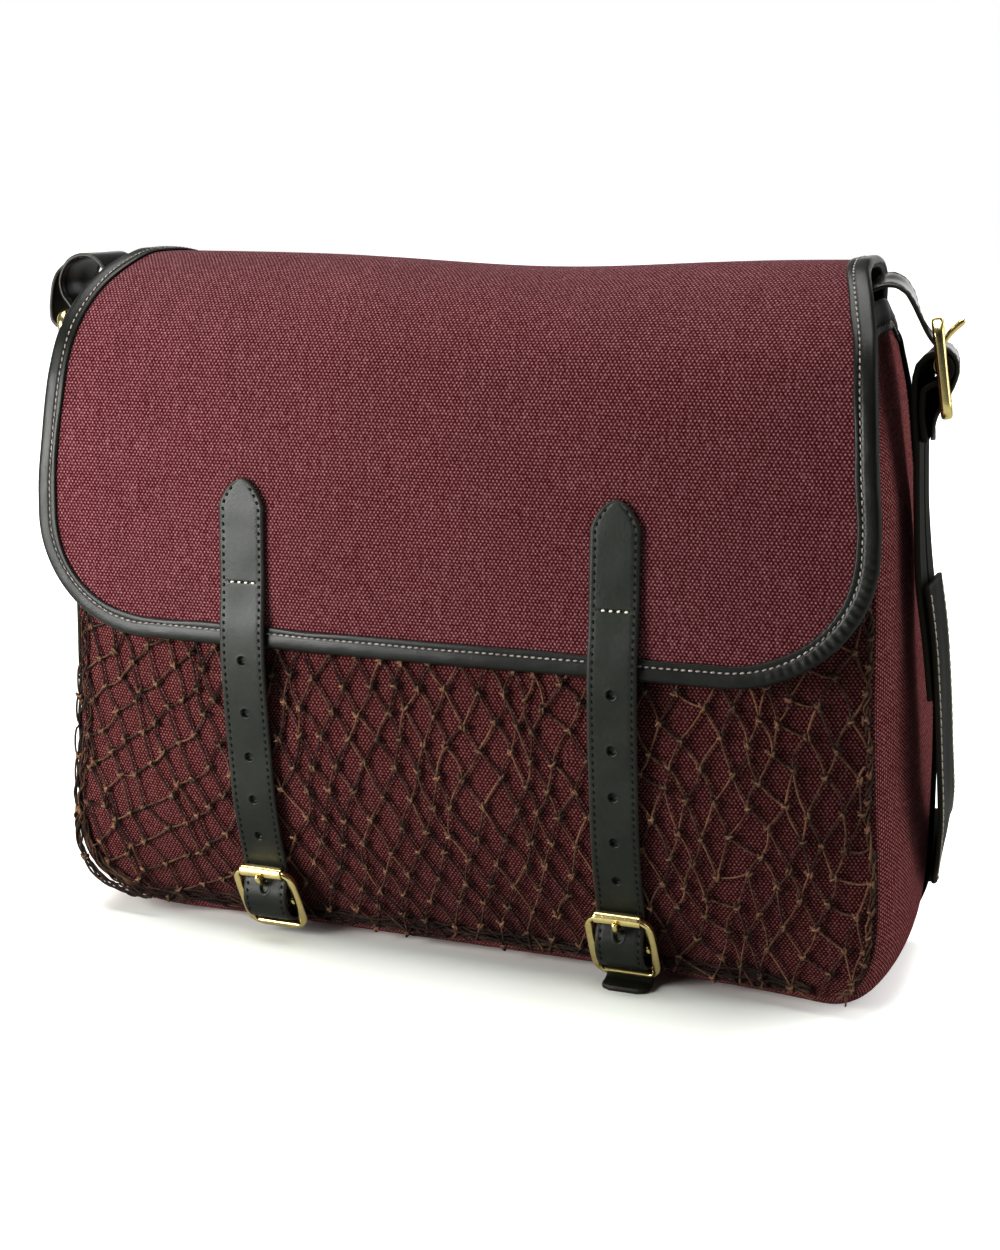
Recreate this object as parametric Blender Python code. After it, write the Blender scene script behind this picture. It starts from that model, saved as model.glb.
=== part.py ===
"""Net-fronted game bag in canvas, leather and brass, standing on its bottom with the flap buckled.

Lengths are millimetres in the tables and metres in the meshes.  X runs to the right, Y to the back
and Z up; the origin is the middle of the flat bottom.
"""
import math

import bmesh
import bpy
import numpy as np
from mathutils import Vector, geometry

MM = 0.001

# Driving sizes
CANVAS = 1.6            # one thickness of canvas with its turned seam
LEATHER = 2.6           # flap straps
STRAP_LEATHER = 2.2     # shoulder strap
BILLET_LEATHER = 2.0    # billets on the bag
CHAPE_LEATHER = 2.4     # folds that hold the side buckles
THIN_LEATHER = 1.3      # bindings and the chapes of the flap buckles
GAP = 0.35              # clearance between neighbouring pieces
BODY_HALF = 213.0       # widest half width of the front seam
SEAM_FRONT_Z = 9.0      # height of the front bottom seam
SEAM_BACK_Z = 7.0       # height of the back bottom seam
BINDING_WIDTH = 10.0    # leather along the flap's edge
FLAP_STRAP_X = {"left": -95.5, "right": 93.0}
FLAP_STRAP_WIDTH = 24.0
SHOULDER_WIDTH = 38.0
SHOULDER_X = 223.0      # middle of the side buckles
SHOULDER_Y = -20.0

# Side seams: half widths and depths at each height, front seam and back seam
SEAMS = [
    # z,    front_half, front_y, back_half, back_y
    (326.0, 189.0, -60.0, 187.5, 37.0),
    (306.0, 193.5, -60.0, 193.5, 38.0),
    (280.0, 198.5, -61.5, 199.3, 39.0),
    (250.0, 202.5, -62.5, 202.8, 40.0),
    (215.0, 205.0, -63.0, 207.5, 41.0),
    (180.0, 206.5, -63.0, 212.3, 42.0),
    (150.0, 207.0, -62.5, 216.0, 43.0),
    (120.0, 208.5, -62.0, 218.0, 43.5),
    (95.0, 210.0, -62.0, 218.5, 44.0),
    (72.0, 212.0, -63.0, 218.5, 44.5),
    (50.0, BODY_HALF, -63.5, 218.2, 45.0),
    (9.0, BODY_HALF, -64.0, 217.0, 46.0),
]
SEAM_Z = (306.0, 280.0, 250.0, 215.0, 180.0, 150.0, 120.0, 95.0, 72.0, 50.0)
BACK_TOP_Z = 325.0

# Rounded bottom corners: how far each starts in from the side and up from the bottom
CORNERS = {
    # side:  (front_x, front_z, back_x, back_z)
    "left": (58.0, 41.0, 50.0, 44.0),
    "right": (30.0, 41.0, 34.0, 44.0),
}

# Front panel, measured in line with the flap straps: how far forward the filled front stands
FRONT_PROFILE = [
    # z,    y
    (9.0, -51.0),
    (20.0, -57.4),
    (40.0, -67.6),
    (58.0, -75.0),
    (81.0, -80.6),
    (104.0, -83.4),
    (127.0, -84.2),
    (154.0, -83.4),
    (165.0, -82.8),
    (192.0, -82.6),
    (242.0, -82.2),
    (280.0, -77.6),
    (306.0, -69.4),
]

# Top edge of the gusset from its front seam to its back seam
GUSSET_TOP = [
    # along, z
    (0.0, 306.0),
    (0.16, 320.0),
    (0.36, 326.0),
    (0.72, 326.5),
    (1.0, 318.0),
]

# Flap in side view: outer face from its back edge over the crest to the front edge
FLAP_PROFILE = [
    # y,     z
    (42.4, 311.0),
    (42.2, 327.0),
    (38.6, 337.0),
    (29.0, 343.0),
    (14.0, 346.2),
    (-3.0, 346.8),
    (-21.0, 346.0),
    (-38.0, 341.0),
    (-54.0, 331.5),
    (-66.0, 320.0),
    (-74.5, 308.0),
    (-80.6, 291.0),
    (-84.4, 272.0),
    (-87.0, 252.0),
    (-88.3, 232.0),
    (-88.9, 212.0),
    (-89.1, 192.0),
    (-89.3, 172.0),
    (-89.6, 160.0),
]

# Half width of the flap along the same line, out to the outside of its binding
FLAP_WIDTHS = [
    # along, half
    (0.0, 186.0),
    (60.0, 189.5),
    (95.0, 191.5),
    (125.0, 198.0),
    (150.0, 203.5),
    (175.0, 206.5),
    (205.0, 209.0),
    (235.0, 211.5),
    (300.0, 211.0),
]
FLAP_CORNERS = {"left": (60.0, 60.0), "right": (70.0, 64.0)}

# Strap outer face in side view, from its sewn point down to where it goes behind the roller
STRAP_PROFILE = [
    # y,    z
    (-91.4, 243.0),
    (-92.2, 226.0),
    (-92.8, 205.0),
    (-93.6, 185.0),
    (-95.1, 170.0),
    (-95.3, 158.0),
    (-94.7, 146.0),
    (-93.1, 127.0),
    (-90.2, 104.0),
    (-87.2, 81.0),
    (-82.6, 62.0),
]
STRAP_HOLES_Z = (154.0, 127.0, 104.0, 81.0, 60.5)
HOLE_RADIUS = 2.0

# Flap buckles: line from the roller down to the bottom bar, in side view
FLAP_BUCKLE = {
    "top": (-80.0, 41.0), "bottom": (-61.5, 7.4), "outer": (33.6, 42.2), "inner": 25.8,
    "bar": 3.8, "thick": 3.8, "corner": 9.0, "bow": 0.9, "window_corner": 1.2,
}
ROLLER_RADIUS = 3.2

# Side buckles: the same line in front view, and how far each leans inward from front to back
SIDE_BUCKLE = {
    "outer": (50.0, 45.3), "inner": 40.0, "bar": 4.0, "thick": 4.4, "corner": 8.0, "bow": 0.8,
    "window_corner": 1.2,
}
SIDE_BUCKLE_LINES = {
    "right": {"top": (220.7, 321.5), "bottom": (226.6, 280.8), "lean": -0.146},
    "left": {"top": (223.0, 315.7), "bottom": (215.2, 275.3), "lean": 0.0},
}

# Side billets in front view (middle of the leather), with the slope of their width from front to back
BILLETS = {
    "right": [
        # x,     z,    lean,  rise
        (189.0, 270.0, 0.00, 0.00),
        (188.0, 298.0, 0.00, 0.00),
        (186.4, 314.0, 0.00, 0.00),
        (186.4, 327.0, -0.04, 0.02),
        (188.2, 333.4, -0.09, 0.06),
        (192.6, 336.9, -0.12, 0.09),
        (198.4, 338.8, -0.13, 0.11),
        (203.4, 337.6, -0.11, 0.08),
        (207.2, 334.2, -0.10, 0.02),
        (210.4, 328.2, -0.14, -0.02),
        (213.4, 321.8, -0.17, -0.03),
        (217.4, 315.4, -0.16, 0.00),
        (221.2, 311.2, -0.146, 0.00),
        (226.2, 309.0, -0.146, 0.00),
        (229.4, 305.4, -0.146, 0.00),
        (230.4, 300.6, -0.146, 0.00),
        (228.8, 294.8, -0.146, 0.00),
        (224.6, 288.4, -0.146, 0.00),
        (220.5, 281.4, -0.146, 0.00),
        (221.1, 268.0, -0.12, 0.00),
    ],
    "left": [
        (189.0, 270.0, 0.00, 0.00),
        (188.0, 298.0, 0.00, 0.00),
        (186.4, 314.0, 0.00, 0.00),
        (186.0, 324.0, 0.00, 0.00),
        (187.0, 329.4, 0.00, 0.00),
        (190.0, 332.8, 0.00, 0.00),
        (194.8, 334.6, 0.00, 0.00),
        (198.8, 337.4, 0.00, 0.00),
        (202.4, 341.6, 0.00, 0.00),
        (207.8, 344.8, 0.00, 0.00),
        (214.2, 345.0, 0.00, 0.00),
        (219.8, 342.6, 0.00, 0.00),
        (223.9, 337.6, 0.00, 0.00),
        (225.9, 330.8, 0.00, 0.00),
        (224.4, 324.6, 0.00, 0.00),
        (220.6, 319.6, 0.00, 0.00),
        (218.6, 315.0, 0.00, 0.00),
        (219.4, 311.2, 0.00, 0.00),
        (223.4, 308.9, 0.00, 0.00),
        (228.2, 308.8, 0.00, 0.00),
        (231.4, 311.4, 0.00, 0.00),
        (232.3, 316.4, 0.00, 0.00),
        (231.8, 322.6, 0.00, 0.00),
        (230.2, 330.4, 0.00, 0.00),
        (227.8, 336.8, 0.00, 0.00),
        (224.4, 342.2, 0.00, 0.00),
    ],
}

# Chapes of the side buckles: lower end, up inside, round the centre bar and down again
CHAPES = {
    "right": [
        # x,     z,    lean,  rise
        (228.0, 150.0, 0.00, 0.00),
        (224.6, 176.0, 0.00, 0.00),
        (220.2, 204.0, 0.00, 0.00),
        (217.4, 235.0, -0.06, 0.00),
        (215.0, 265.0, -0.12, 0.00),
        (213.2, 286.0, -0.146, 0.00),
        (213.6, 298.0, -0.146, 0.00),
        (215.6, 304.8, -0.146, 0.00),
        (218.8, 307.2, -0.146, 0.00),
        (222.9, 306.8, -0.146, 0.00),
        (226.8, 304.4, -0.146, 0.00),
        (227.9, 300.8, -0.146, 0.00),
        (226.6, 297.4, -0.146, 0.00),
        (222.8, 295.2, -0.146, 0.00),
        (217.8, 292.0, -0.146, 0.00),
        (215.9, 285.0, -0.14, 0.00),
        (218.0, 268.0, -0.12, 0.00),
    ],
    "left": [
        (219.2, 150.0, 0.00, 0.00),
        (217.6, 182.0, 0.00, 0.00),
        (214.2, 212.0, 0.00, 0.00),
        (210.6, 240.0, 0.00, 0.00),
        (208.2, 262.0, 0.00, 0.00),
        (207.9, 276.4, 0.00, 0.00),
        (209.0, 284.5, 0.00, 0.00),
        (212.0, 291.8, 0.00, 0.00),
        (214.4, 296.0, 0.00, 0.00),
        (216.8, 299.5, 0.00, 0.00),
        (220.4, 299.8, 0.00, 0.00),
        (223.0, 297.2, 0.00, 0.00),
        (222.9, 293.4, 0.00, 0.00),
        (219.8, 291.0, 0.00, 0.00),
        (214.4, 286.6, 0.00, 0.00),
        (211.1, 280.6, 0.00, 0.00),
        (210.9, 274.8, 0.00, 0.00),
        (211.3, 266.0, 0.00, 0.00),
    ],
}
CHAPE_SLOTS = {"right": ((219.8, 307.2), (220.4, 294.0)), "left": ((212.6, 292.8), (216.4, 289.0))}

# Shoulder strap: centre line and direction of its width, right side down to the floor behind
STRAP_ROUTE = [
    # x,     y,     z,     width_x, width_y, width_z
    (224.2, -20.0, 203.0, 0.00, 1.00, 0.00),
    (228.0, -20.0, 180.0, 0.00, 1.00, 0.02),
    (231.2, -20.0, 150.0, 0.00, 1.00, 0.02),
    (233.2, -19.0, 122.0, 0.00, 0.99, 0.10),
    (233.8, -11.0, 95.0, 0.00, 0.93, 0.36),
    (231.6, 4.0, 76.0, 0.03, 0.80, 0.60),
    (228.4, 22.0, 63.5, 0.05, 0.70, 0.70),
    (225.0, 40.0, 55.0, 0.00, 0.62, 0.78),
    (216.0, 58.5, 49.0, -0.34, 0.45, 0.80),
    (199.0, 70.0, 42.0, -0.62, 0.22, 0.75),
    (180.0, 81.0, 33.0, -0.66, 0.02, 0.75),
    (158.0, 94.0, 23.0, -0.67, -0.20, 0.71),
    (134.0, 108.0, 13.0, -0.65, -0.45, 0.60),
    (106.0, 122.0, 5.0, -0.50, -0.80, 0.25),
    (76.0, 132.0, 1.3, -0.35, -0.94, 0.00),
    (38.0, 139.0, 1.3, -0.15, -0.99, 0.00),
    (0.0, 141.0, 1.3, 0.00, -1.00, 0.00),
]
LEFT_STRAP_X = (221.5, 222.6, 223.4, 224.2, 225.4, 227.2, 228.8, 227.2, 218.4)

# Flap strap inside its buckle: outer face at each height above the centre bar
STRAP_IN_BUCKLE = [
    # up,   out
    (28.0, -5.9),
    (19.2, -3.7),
    (15.0, -2.0),
    (11.0, 1.8),
    (7.0, 5.4),
    (3.0, 7.3),
    (-1.5, 7.6),
    (-6.0, 7.0),
    (-10.0, 5.2),
    (-13.2, 2.0),
    (-16.0, -1.2),
    (-19.2, -3.2),
]
STRAP_PRONG_HOLE = (10.6, 2.1)
BAR_SPACING = 19.2
ROLLER_BORE = 2.5
STRAP_TAILS = {
    "left": [
        # y,    z
        (-57.9, 6.9),
        (-57.5, 5.2),
    ],
    "right": [
        (-58.0, 5.8),
        (-59.8, 3.2),
        (-64.0, 2.7),
        (-70.0, 2.7),
    ],
}
BILLET_PRONG_HOLES = {"right": (223.4, 310.0), "left": (224.4, 308.9)}

# Prongs: shaft from behind the centre bar to the tip
FLAP_PRONG = [
    # up,   out,  radius
    (5.0, -1.9, 1.0),
    (10.6, 0.8, 1.15),
    (15.5, 4.0, 1.5),
    (18.8, 5.3, 1.6),
    (21.8, 5.4, 0.9),
]
SIDE_PRONGS = {
    "left": [
        # up,   out,  radius
        (5.0, -1.6, 1.1),
        (10.0, 0.6, 1.1),
        (14.9, 2.6, 1.3),
        (17.6, 3.8, 1.25),
        (19.2, 4.6, 0.6),
    ],
    "right": [
        # up,   out,  radius
        (5.0, -1.6, 1.1),
        (9.0, 0.9, 1.1),
        (13.5, 4.4, 1.3),
        (18.0, 10.2, 1.5),
        (19.2, 11.8, 0.8),
    ],
}

# Net pocket
NET_COLUMNS = 11
NET_ROWS = 5
NET_BOTTOM = 13.0
NET_TOP = 206.0
NET_SIDE_MARGINS = {"left": 9.0, "right": 3.5}
NET_CORD = 1.5
NET_STAND_OFF = 1.0
NET_OPEN_SHARE = 0.9

COLOURS = {
    "canvas": ((0.135, 0.030, 0.034), 0.85, 0.0),
    "leather": ((0.022, 0.020, 0.016), 0.42, 0.0),
    "brass": ((0.78, 0.60, 0.22), 0.20, 1.0),
    "cord": ((0.20, 0.11, 0.06), 0.75, 0.0),
}


# Curves

def graph(rows, x_col, y_col):
    """Return a smooth function through two columns of a table that never overshoots its rows."""
    data = sorted((row[x_col], row[y_col]) for row in rows)
    xs, ys = (np.array(column, float) for column in zip(*data))
    slopes = np.diff(ys) / np.diff(xs)
    tangents = np.concatenate([slopes[:1], np.zeros(len(xs) - 2), slopes[-1:]])
    same = slopes[:-1] * slopes[1:] > 0
    inner = np.zeros(len(xs) - 2)
    inner[same] = 2 * slopes[:-1][same] * slopes[1:][same] / (slopes[:-1] + slopes[1:])[same]
    tangents[1:-1] = inner

    def value(x):
        x = np.clip(np.asarray(x, float), xs[0], xs[-1])
        i = np.clip(np.searchsorted(xs, x, side="right") - 1, 0, len(xs) - 2)
        step = xs[i + 1] - xs[i]
        t = (x - xs[i]) / step
        return ((1 + 2 * t) * (1 - t) ** 2 * ys[i] + t * (1 - t) ** 2 * step * tangents[i]
                + t * t * (3 - 2 * t) * ys[i + 1] + t * t * (t - 1) * step * tangents[i + 1])
    return value


def route(points):
    """Return a smooth curve through the points, as a function of length, and its whole length."""
    points = np.array(points, float)
    s = np.concatenate([[0.0], np.cumsum(np.linalg.norm(np.diff(points, axis=0), axis=1))])
    tangents = np.gradient(points, s, axis=0)

    def value(at):
        at = np.clip(np.atleast_1d(np.asarray(at, float)), 0.0, s[-1])
        i = np.clip(np.searchsorted(s, at, side="right") - 1, 0, len(s) - 2)
        step = (s[i + 1] - s[i])[:, None]
        t = (at[:, None] - s[i][:, None]) / step
        return ((1 + 2 * t) * (1 - t) ** 2 * points[i] + t * (1 - t) ** 2 * step * tangents[i]
                + t * t * (3 - 2 * t) * points[i + 1] + t * t * (t - 1) * step * tangents[i + 1])
    return value, float(s[-1])


def unit(vectors):
    """Return the vectors at length one."""
    vectors = np.asarray(vectors, float)
    return vectors / np.maximum(np.linalg.norm(vectors, axis=-1, keepdims=True), 1e-9)


def coons(left, bottom, right, top):
    """Fill four edges with a grid: left and right run down, top and bottom run left to right."""
    v = np.linspace(0, 1, len(left))[:, None, None]
    u = np.linspace(0, 1, len(top))[None, :, None]
    ruled_v = (1 - v) * top[None] + v * bottom[None]
    ruled_u = (1 - u) * left[:, None] + u * right[:, None]
    corners = ((1 - v) * ((1 - u) * top[0] + u * top[-1])
               + v * ((1 - u) * bottom[0] + u * bottom[-1]))
    return ruled_v + ruled_u - corners


# Solids

def add(name, verts, faces, finish):
    """Make one named object from points in millimetres."""
    mesh = bpy.data.meshes.new(name)
    mesh.from_pydata([tuple(float(c) * MM for c in v) for v in verts], [], faces)
    solid = bmesh.new()
    solid.from_mesh(mesh)
    bmesh.ops.triangulate(solid, faces=solid.faces)
    bmesh.ops.recalc_face_normals(solid, faces=solid.faces)
    solid.to_mesh(mesh)
    solid.free()
    colour, roughness, metallic = COLOURS[finish]
    material = bpy.data.materials.new(name + "_" + finish)
    material.use_nodes = True
    shader = material.node_tree.nodes["Principled BSDF"]
    shader.inputs["Base Color"].default_value = (*colour, 1.0)
    shader.inputs["Roughness"].default_value = roughness
    shader.inputs["Metallic"].default_value = metallic
    mesh.materials.append(material)
    part = bpy.data.objects.new(name, mesh)
    bpy.context.collection.objects.link(part)
    return part


def wall(name, outer, inner, finish):
    """Close two matching grids of points into one thin wall."""
    rows, cols = outer.shape[:2]
    index = np.arange(rows * cols).reshape(rows, cols)
    back = index + rows * cols
    faces = []
    for i in range(rows - 1):
        for j in range(cols - 1):
            faces.append((index[i, j], index[i, j + 1], index[i + 1, j + 1], index[i + 1, j]))
            faces.append((back[i, j], back[i + 1, j], back[i + 1, j + 1], back[i, j + 1]))
    rim = ([(0, j) for j in range(cols)] + [(i, cols - 1) for i in range(1, rows)]
           + [(rows - 1, j) for j in range(cols - 2, -1, -1)] + [(i, 0) for i in range(rows - 2, 0, -1)])
    for a, b in zip(rim, rim[1:] + rim[:1]):
        faces.append((index[a], back[a], back[b], index[b]))
    verts = np.concatenate([outer.reshape(-1, 3), inner.reshape(-1, 3)])
    return add(name, verts, [tuple(int(k) for k in f) for f in faces], finish)


def sweep(name, sections, finish):
    """Join closed section outlines, one after another, into one solid with capped ends."""
    sections = np.asarray(sections, float)
    count, sides = sections.shape[:2]
    faces = [tuple(range(sides))[::-1], tuple((count - 1) * sides + k for k in range(sides))]
    for i in range(count - 1):
        for k in range(sides):
            n = (k + 1) % sides
            faces.append((i * sides + k, i * sides + n, (i + 1) * sides + n, (i + 1) * sides + k))
    return add(name, sections.reshape(-1, 3), faces, finish)


def rods(centres, radii, sides, across):
    """Return round sections along a path, turned from the given cross direction."""
    centres = np.asarray(centres, float)
    along = unit(np.gradient(centres, axis=0))
    first = unit(np.cross(along, across))
    second = np.cross(along, first)
    angles = np.linspace(0, 2 * math.pi, sides, endpoint=False)
    ring = (np.cos(angles)[None, :, None] * first[:, None] + np.sin(angles)[None, :, None] * second[:, None])
    return centres[:, None] + np.asarray(radii, float).reshape(-1, 1, 1) * ring


def circle(centre, radius, sides=6, stretch=1.0):
    """Return a round or, lengthwise, long hole as points going round."""
    angles = (np.arange(sides) + 0.5) * 2 * math.pi / sides
    return [(centre[0] + radius * stretch * math.cos(a), centre[1] + radius * math.sin(a)) for a in angles]


def inside(point, loop):
    """Tell whether a flat point lies within a loop."""
    x, y = point
    hit = False
    for (ax, ay), (bx, by) in zip(loop, loop[1:] + loop[:1]):
        if (ay > y) != (by > y) and x < (bx - ax) * (y - ay) / (by - ay) + ax:
            hit = not hit
    return hit


def cut_band(name, outline, holes, lines, place, thickness, finish):
    """Make a band of leather from a flat outline with holes, bent along its cross lines.

    Args:
        outline: points (along, across) going round the band.
        holes: loops of the same kind to leave open.
        lines: distances along the band where it may bend.
        place: function of along, across and depth that gives points in space.
    """
    rim = []
    for a, b in zip(outline, outline[1:] + outline[:1]):
        rim.append(a)
        stops = sorted((s for s in lines if min(a[0], b[0]) + 0.2 < s < max(a[0], b[0]) - 0.2),
                       reverse=a[0] > b[0])
        rim += [(s, a[1] + (b[1] - a[1]) * (s - a[0]) / (b[0] - a[0])) for s in stops]
    points, edges = list(rim), [(i, (i + 1) % len(rim)) for i in range(len(rim))]
    for loop in holes:
        first = len(points)
        points += loop
        edges += [(first + i, first + (i + 1) % len(loop)) for i in range(len(loop))]
    for s in lines:
        crossing = [loop for loop in holes if min(p[0] for p in loop) < s < max(p[0] for p in loop)]
        if any(all(abs(p[0] - s) > 1e-6 for p in loop) for loop in crossing):
            continue
        row = sorted((p[1], i) for i, p in enumerate(points) if abs(p[0] - s) < 1e-6)
        for (low, i), (high, j) in zip(row, row[1:]):
            if not any(inside((s, (low + high) / 2), loop) for loop in crossing):
                edges.append((i, j))
    flat, _, triangles, *_ = geometry.delaunay_2d_cdt([Vector(p) for p in points], edges, [], 0, 1e-5)
    kept = []
    for triangle in triangles:
        middle = sum((flat[k] for k in triangle), Vector((0, 0))) / 3
        if inside(middle, rim) and not any(inside(middle, loop) for loop in holes):
            kept.append(tuple(triangle))
    s = np.array([p[0] for p in flat])
    t = np.array([p[1] for p in flat])
    verts = np.concatenate([place(s, t, np.zeros_like(s)), place(s, t, np.full_like(s, thickness))])
    count = len(flat)
    faces = list(kept) + [tuple(k + count for k in f[::-1]) for f in kept]
    used = {(f[i], f[(i + 1) % 3]) for f in kept for i in range(3)}
    faces += [(b, a, a + count, b + count) for a, b in used if (b, a) not in used]
    return add(name, verts, faces, finish)


def slot(start, end, half, stops):
    """Return a long narrow hole with a corner at each bend along it."""
    ends = [start] + [s for s in stops if start < s < end] + [end]
    return [(s, -half) for s in ends] + [(s, half) for s in ends[::-1]]


def rounded(width, height, radius, bow, steps):
    """Return a rounded rectangle whose long sides bow outward."""
    points = []
    for cx, cy, start in ((1, 1, 0), (-1, 1, 90), (-1, -1, 180), (1, -1, 270)):
        for k in range(steps):
            a = math.radians(start + 90 * k / (steps - 1))
            x = cx * (width / 2 - radius) + radius * math.cos(a)
            y = cy * (height / 2 - radius) + radius * math.sin(a)
            points.append((x, y))
    return [(x + math.copysign(bow * (1 - (2 * y / height) ** 2), x), y) for x, y in points]


def buckle_frame(name, size, place):
    """Make a brass frame with a centre bar, its edges taken off all round."""
    width, height = size["outer"]
    bar, half, chamfer = size["bar"], size["thick"] / 2, size["thick"] * 0.27
    window = (height - 3 * bar) / 2
    loops = []
    for inset in (chamfer, 0.0, 0.0, chamfer):
        rim = rounded(width - 2 * inset, height - 2 * inset, size["corner"] - inset, size["bow"], 4)
        holes = []
        for sign in (1, -1):
            hole = rounded(size["inner"] + 2 * inset, window + 2 * inset, size["window_corner"] + inset, 0.0, 2)
            holes.append([(x, y + sign * (window + bar) / 2) for x, y in hole])
        loops.append([rim] + holes)
    depths = (-half, -half + chamfer, half - chamfer, half)
    verts, starts = [], []
    for layer, depth in zip(loops, depths):
        starts.append([])
        for loop in layer:
            starts[-1].append(len(verts))
            verts += [place(x, y, depth) for x, y in loop]
    faces = []
    for k in range(3):
        for n, loop in enumerate(loops[0]):
            a, b, size_n = starts[k][n], starts[k + 1][n], len(loop)
            for i in range(size_n):
                j = (i + 1) % size_n
                faces.append((a + i, a + j, b + j, b + i))
    for k in (0, 3):
        offset = starts[k][0]
        for triangle in geometry.tessellate_polygon([[Vector((*p, 0)) for p in loop] for loop in loops[k]]):
            faces.append(tuple(offset + i for i in triangle))
    return add(name, verts, faces, "brass")


# Body

seam_front_half = graph(SEAMS, 0, 1)
seam_front_y = graph(SEAMS, 0, 2)
seam_back_half = graph(SEAMS, 0, 3)
seam_back_y = graph(SEAMS, 0, 4)
front_line_y = graph(FRONT_PROFILE, 0, 1)
gusset_top_z = graph(GUSSET_TOP, 0, 1)
STRAP_SHARE = 1 - (FLAP_STRAP_X["right"] / 208.0) ** 4


def front_y(x, z):
    """Depth of the front panel's outer face: flat across the middle, falling back to the seams."""
    side = seam_front_y(z)
    across = 1 - np.minimum(np.abs(x) / seam_front_half(z), 1.0) ** 4
    skew = -6.0 * np.sign(x) * (np.abs(x) / 200.0) ** 2 * np.exp(-np.asarray(z, float) / 40.0)
    return side + (front_line_y(z) - side) / STRAP_SHARE * across + skew


def back_y(x, z):
    """Depth of the back panel's outer face, a little fuller in the middle."""
    across = 1 - np.minimum(np.abs(x) / seam_back_half(z), 1.0) ** 2
    return seam_back_y(z) + 8.0 * across * np.sin(np.clip(z / 335.0, 0, 1) * math.pi)


def seam_outline(half, bottom_z, corner_columns, top_z):
    """Return the seam seen from the front as (x, z), down the left, along the bottom, up the right."""
    paths = []
    for side in ("left", "right"):
        rx, rz = (CORNERS[side][k] for k in corner_columns)
        line = [(float(half(z)), z) for z in (top_z, *SEAM_Z[1:])]
        for angle in (22.5, 45.0, 67.5, 90.0):
            c, s = math.cos(math.radians(angle)), math.sin(math.radians(angle))
            line.append((line[len(SEAM_Z) - 1][0] - rx * (1 - c ** 0.8), bottom_z + rz * (1 - s ** 0.8)))
        paths.append(line)
    left, right = paths
    start, end = -left[-1][0], right[-1][0]
    bottom = [(x, bottom_z) for x in np.linspace(start, end, 9)[1:-1]]
    return np.array([(-x, z) for x, z in left] + bottom + right[::-1])


def panel(name, outline, depth, thickness):
    """Make one flat-cut panel whose edge follows a seam outline and whose face follows a depth."""
    corner = len(SEAM_Z) + 1
    left, bottom, right = outline[:corner + 1], outline[corner:-corner], outline[:-corner - 2:-1]
    top = np.linspace(outline[0], outline[-1], len(bottom))
    grid = coons(left, bottom, right, top)
    x, z = grid[..., 0], grid[..., 1]
    face = depth(x, z)
    outer = np.stack([x, face, z], axis=-1)
    inner = np.stack([x, face + thickness, z], axis=-1)
    return wall(name, outer, inner, "canvas")


def gusset_grid():
    """Return the gusset's outer face, its outward directions and the shares from front to back."""
    front = seam_outline(seam_front_half, SEAM_FRONT_Z, (0, 1), SEAM_Z[0])
    back = seam_outline(seam_back_half, SEAM_BACK_Z, (2, 3), SEAM_Z[0])
    start = np.column_stack([front[:, 0], front_y(*front.T) + CANVAS + GAP, front[:, 1]])
    end = np.column_stack([back[:, 0], back_y(*back.T) - CANVAS - GAP, back[:, 1]])
    along = unit(np.gradient((front + back) / 2, axis=0))
    out = np.column_stack([along[:, 1], np.zeros(len(along)), -along[:, 0]])
    shares = np.array([0.0, 0.06, 0.2, 0.5, 0.8, 0.94, 1.0])
    v = shares[None, :, None]
    ruled = (1 - v) * start[:, None] + v * end[:, None]
    down = np.clip(-out[:, 2], 0, 1)[:, None]
    swell = (1 - down) * (1 - (2 * shares - 1) ** 2)[None] + down * (1 - (2 * shares - 1) ** 8)[None]
    amount = 2.4 * (1 - down) + (SEAM_FRONT_Z + 0.6) * down
    face = ruled + (swell * amount)[..., None] * out[:, None]
    before = face[..., 2].copy()
    fade = np.clip((before - SEAM_Z[2]) / (SEAM_Z[0] - SEAM_Z[2]), 0, 1)
    face[..., 2] += fade * (gusset_top_z(shares)[None] - SEAM_Z[0])
    face[..., 0] += np.sign(face[..., 0]) * (seam_front_half(face[..., 2]) - seam_front_half(before))
    face[..., 1] += shares[None] * (seam_back_y(face[..., 2]) - seam_back_y(before))
    face[..., 2] = np.maximum(face[..., 2], 0.0)
    return face, out, shares


def gusset():
    """Make the one strip that runs down one side, under the bag and up the other side."""
    outer, out, _ = gusset_grid()
    inner = outer - CANVAS * out[:, None]
    inner[..., 2] = np.where(outer[..., 2] < CANVAS, np.maximum(inner[..., 2], CANVAS), inner[..., 2])
    wall("gusset", outer, inner, "canvas")


def gusset_bindings():
    """Make the leather channel over the top edge of each end of the gusset."""
    outer, _, shares = gusset_grid()
    for side, column in (("left", 0), ("right", -1)):
        sign = 1 if side == "right" else -1
        below = 1 if side == "left" else -2
        edge, lower = outer[column], outer[below]
        picks = np.array([0.03, *shares[1:-1], 0.97])
        top = np.column_stack([np.interp(picks, shares, edge[:, k]) for k in range(3)])
        under = np.column_stack([np.interp(picks, shares, lower[:, k]) for k in range(3)])
        down = unit(under - top)
        out = np.tile([sign, 0.0, 0.0], (len(picks), 1))
        out = unit(out - down * np.sum(out * down, axis=1, keepdims=True))
        t, w = THIN_LEATHER, CANVAS
        shape = [(12.0, GAP), (-0.5, GAP), (-0.5, -w - GAP), (9.0, -w - GAP), (9.0, -w - GAP - t),
                 (-1.3, -w - GAP - t), (-2.2, -w / 2), (-1.3, GAP + t), (5.0, GAP + t + 0.5), (12.0, GAP + t)]
        sections = [top + d * down + h * out for d, h in shape]
        sweep("gusset_binding_" + side, np.stack(sections, axis=1), "leather")


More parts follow.
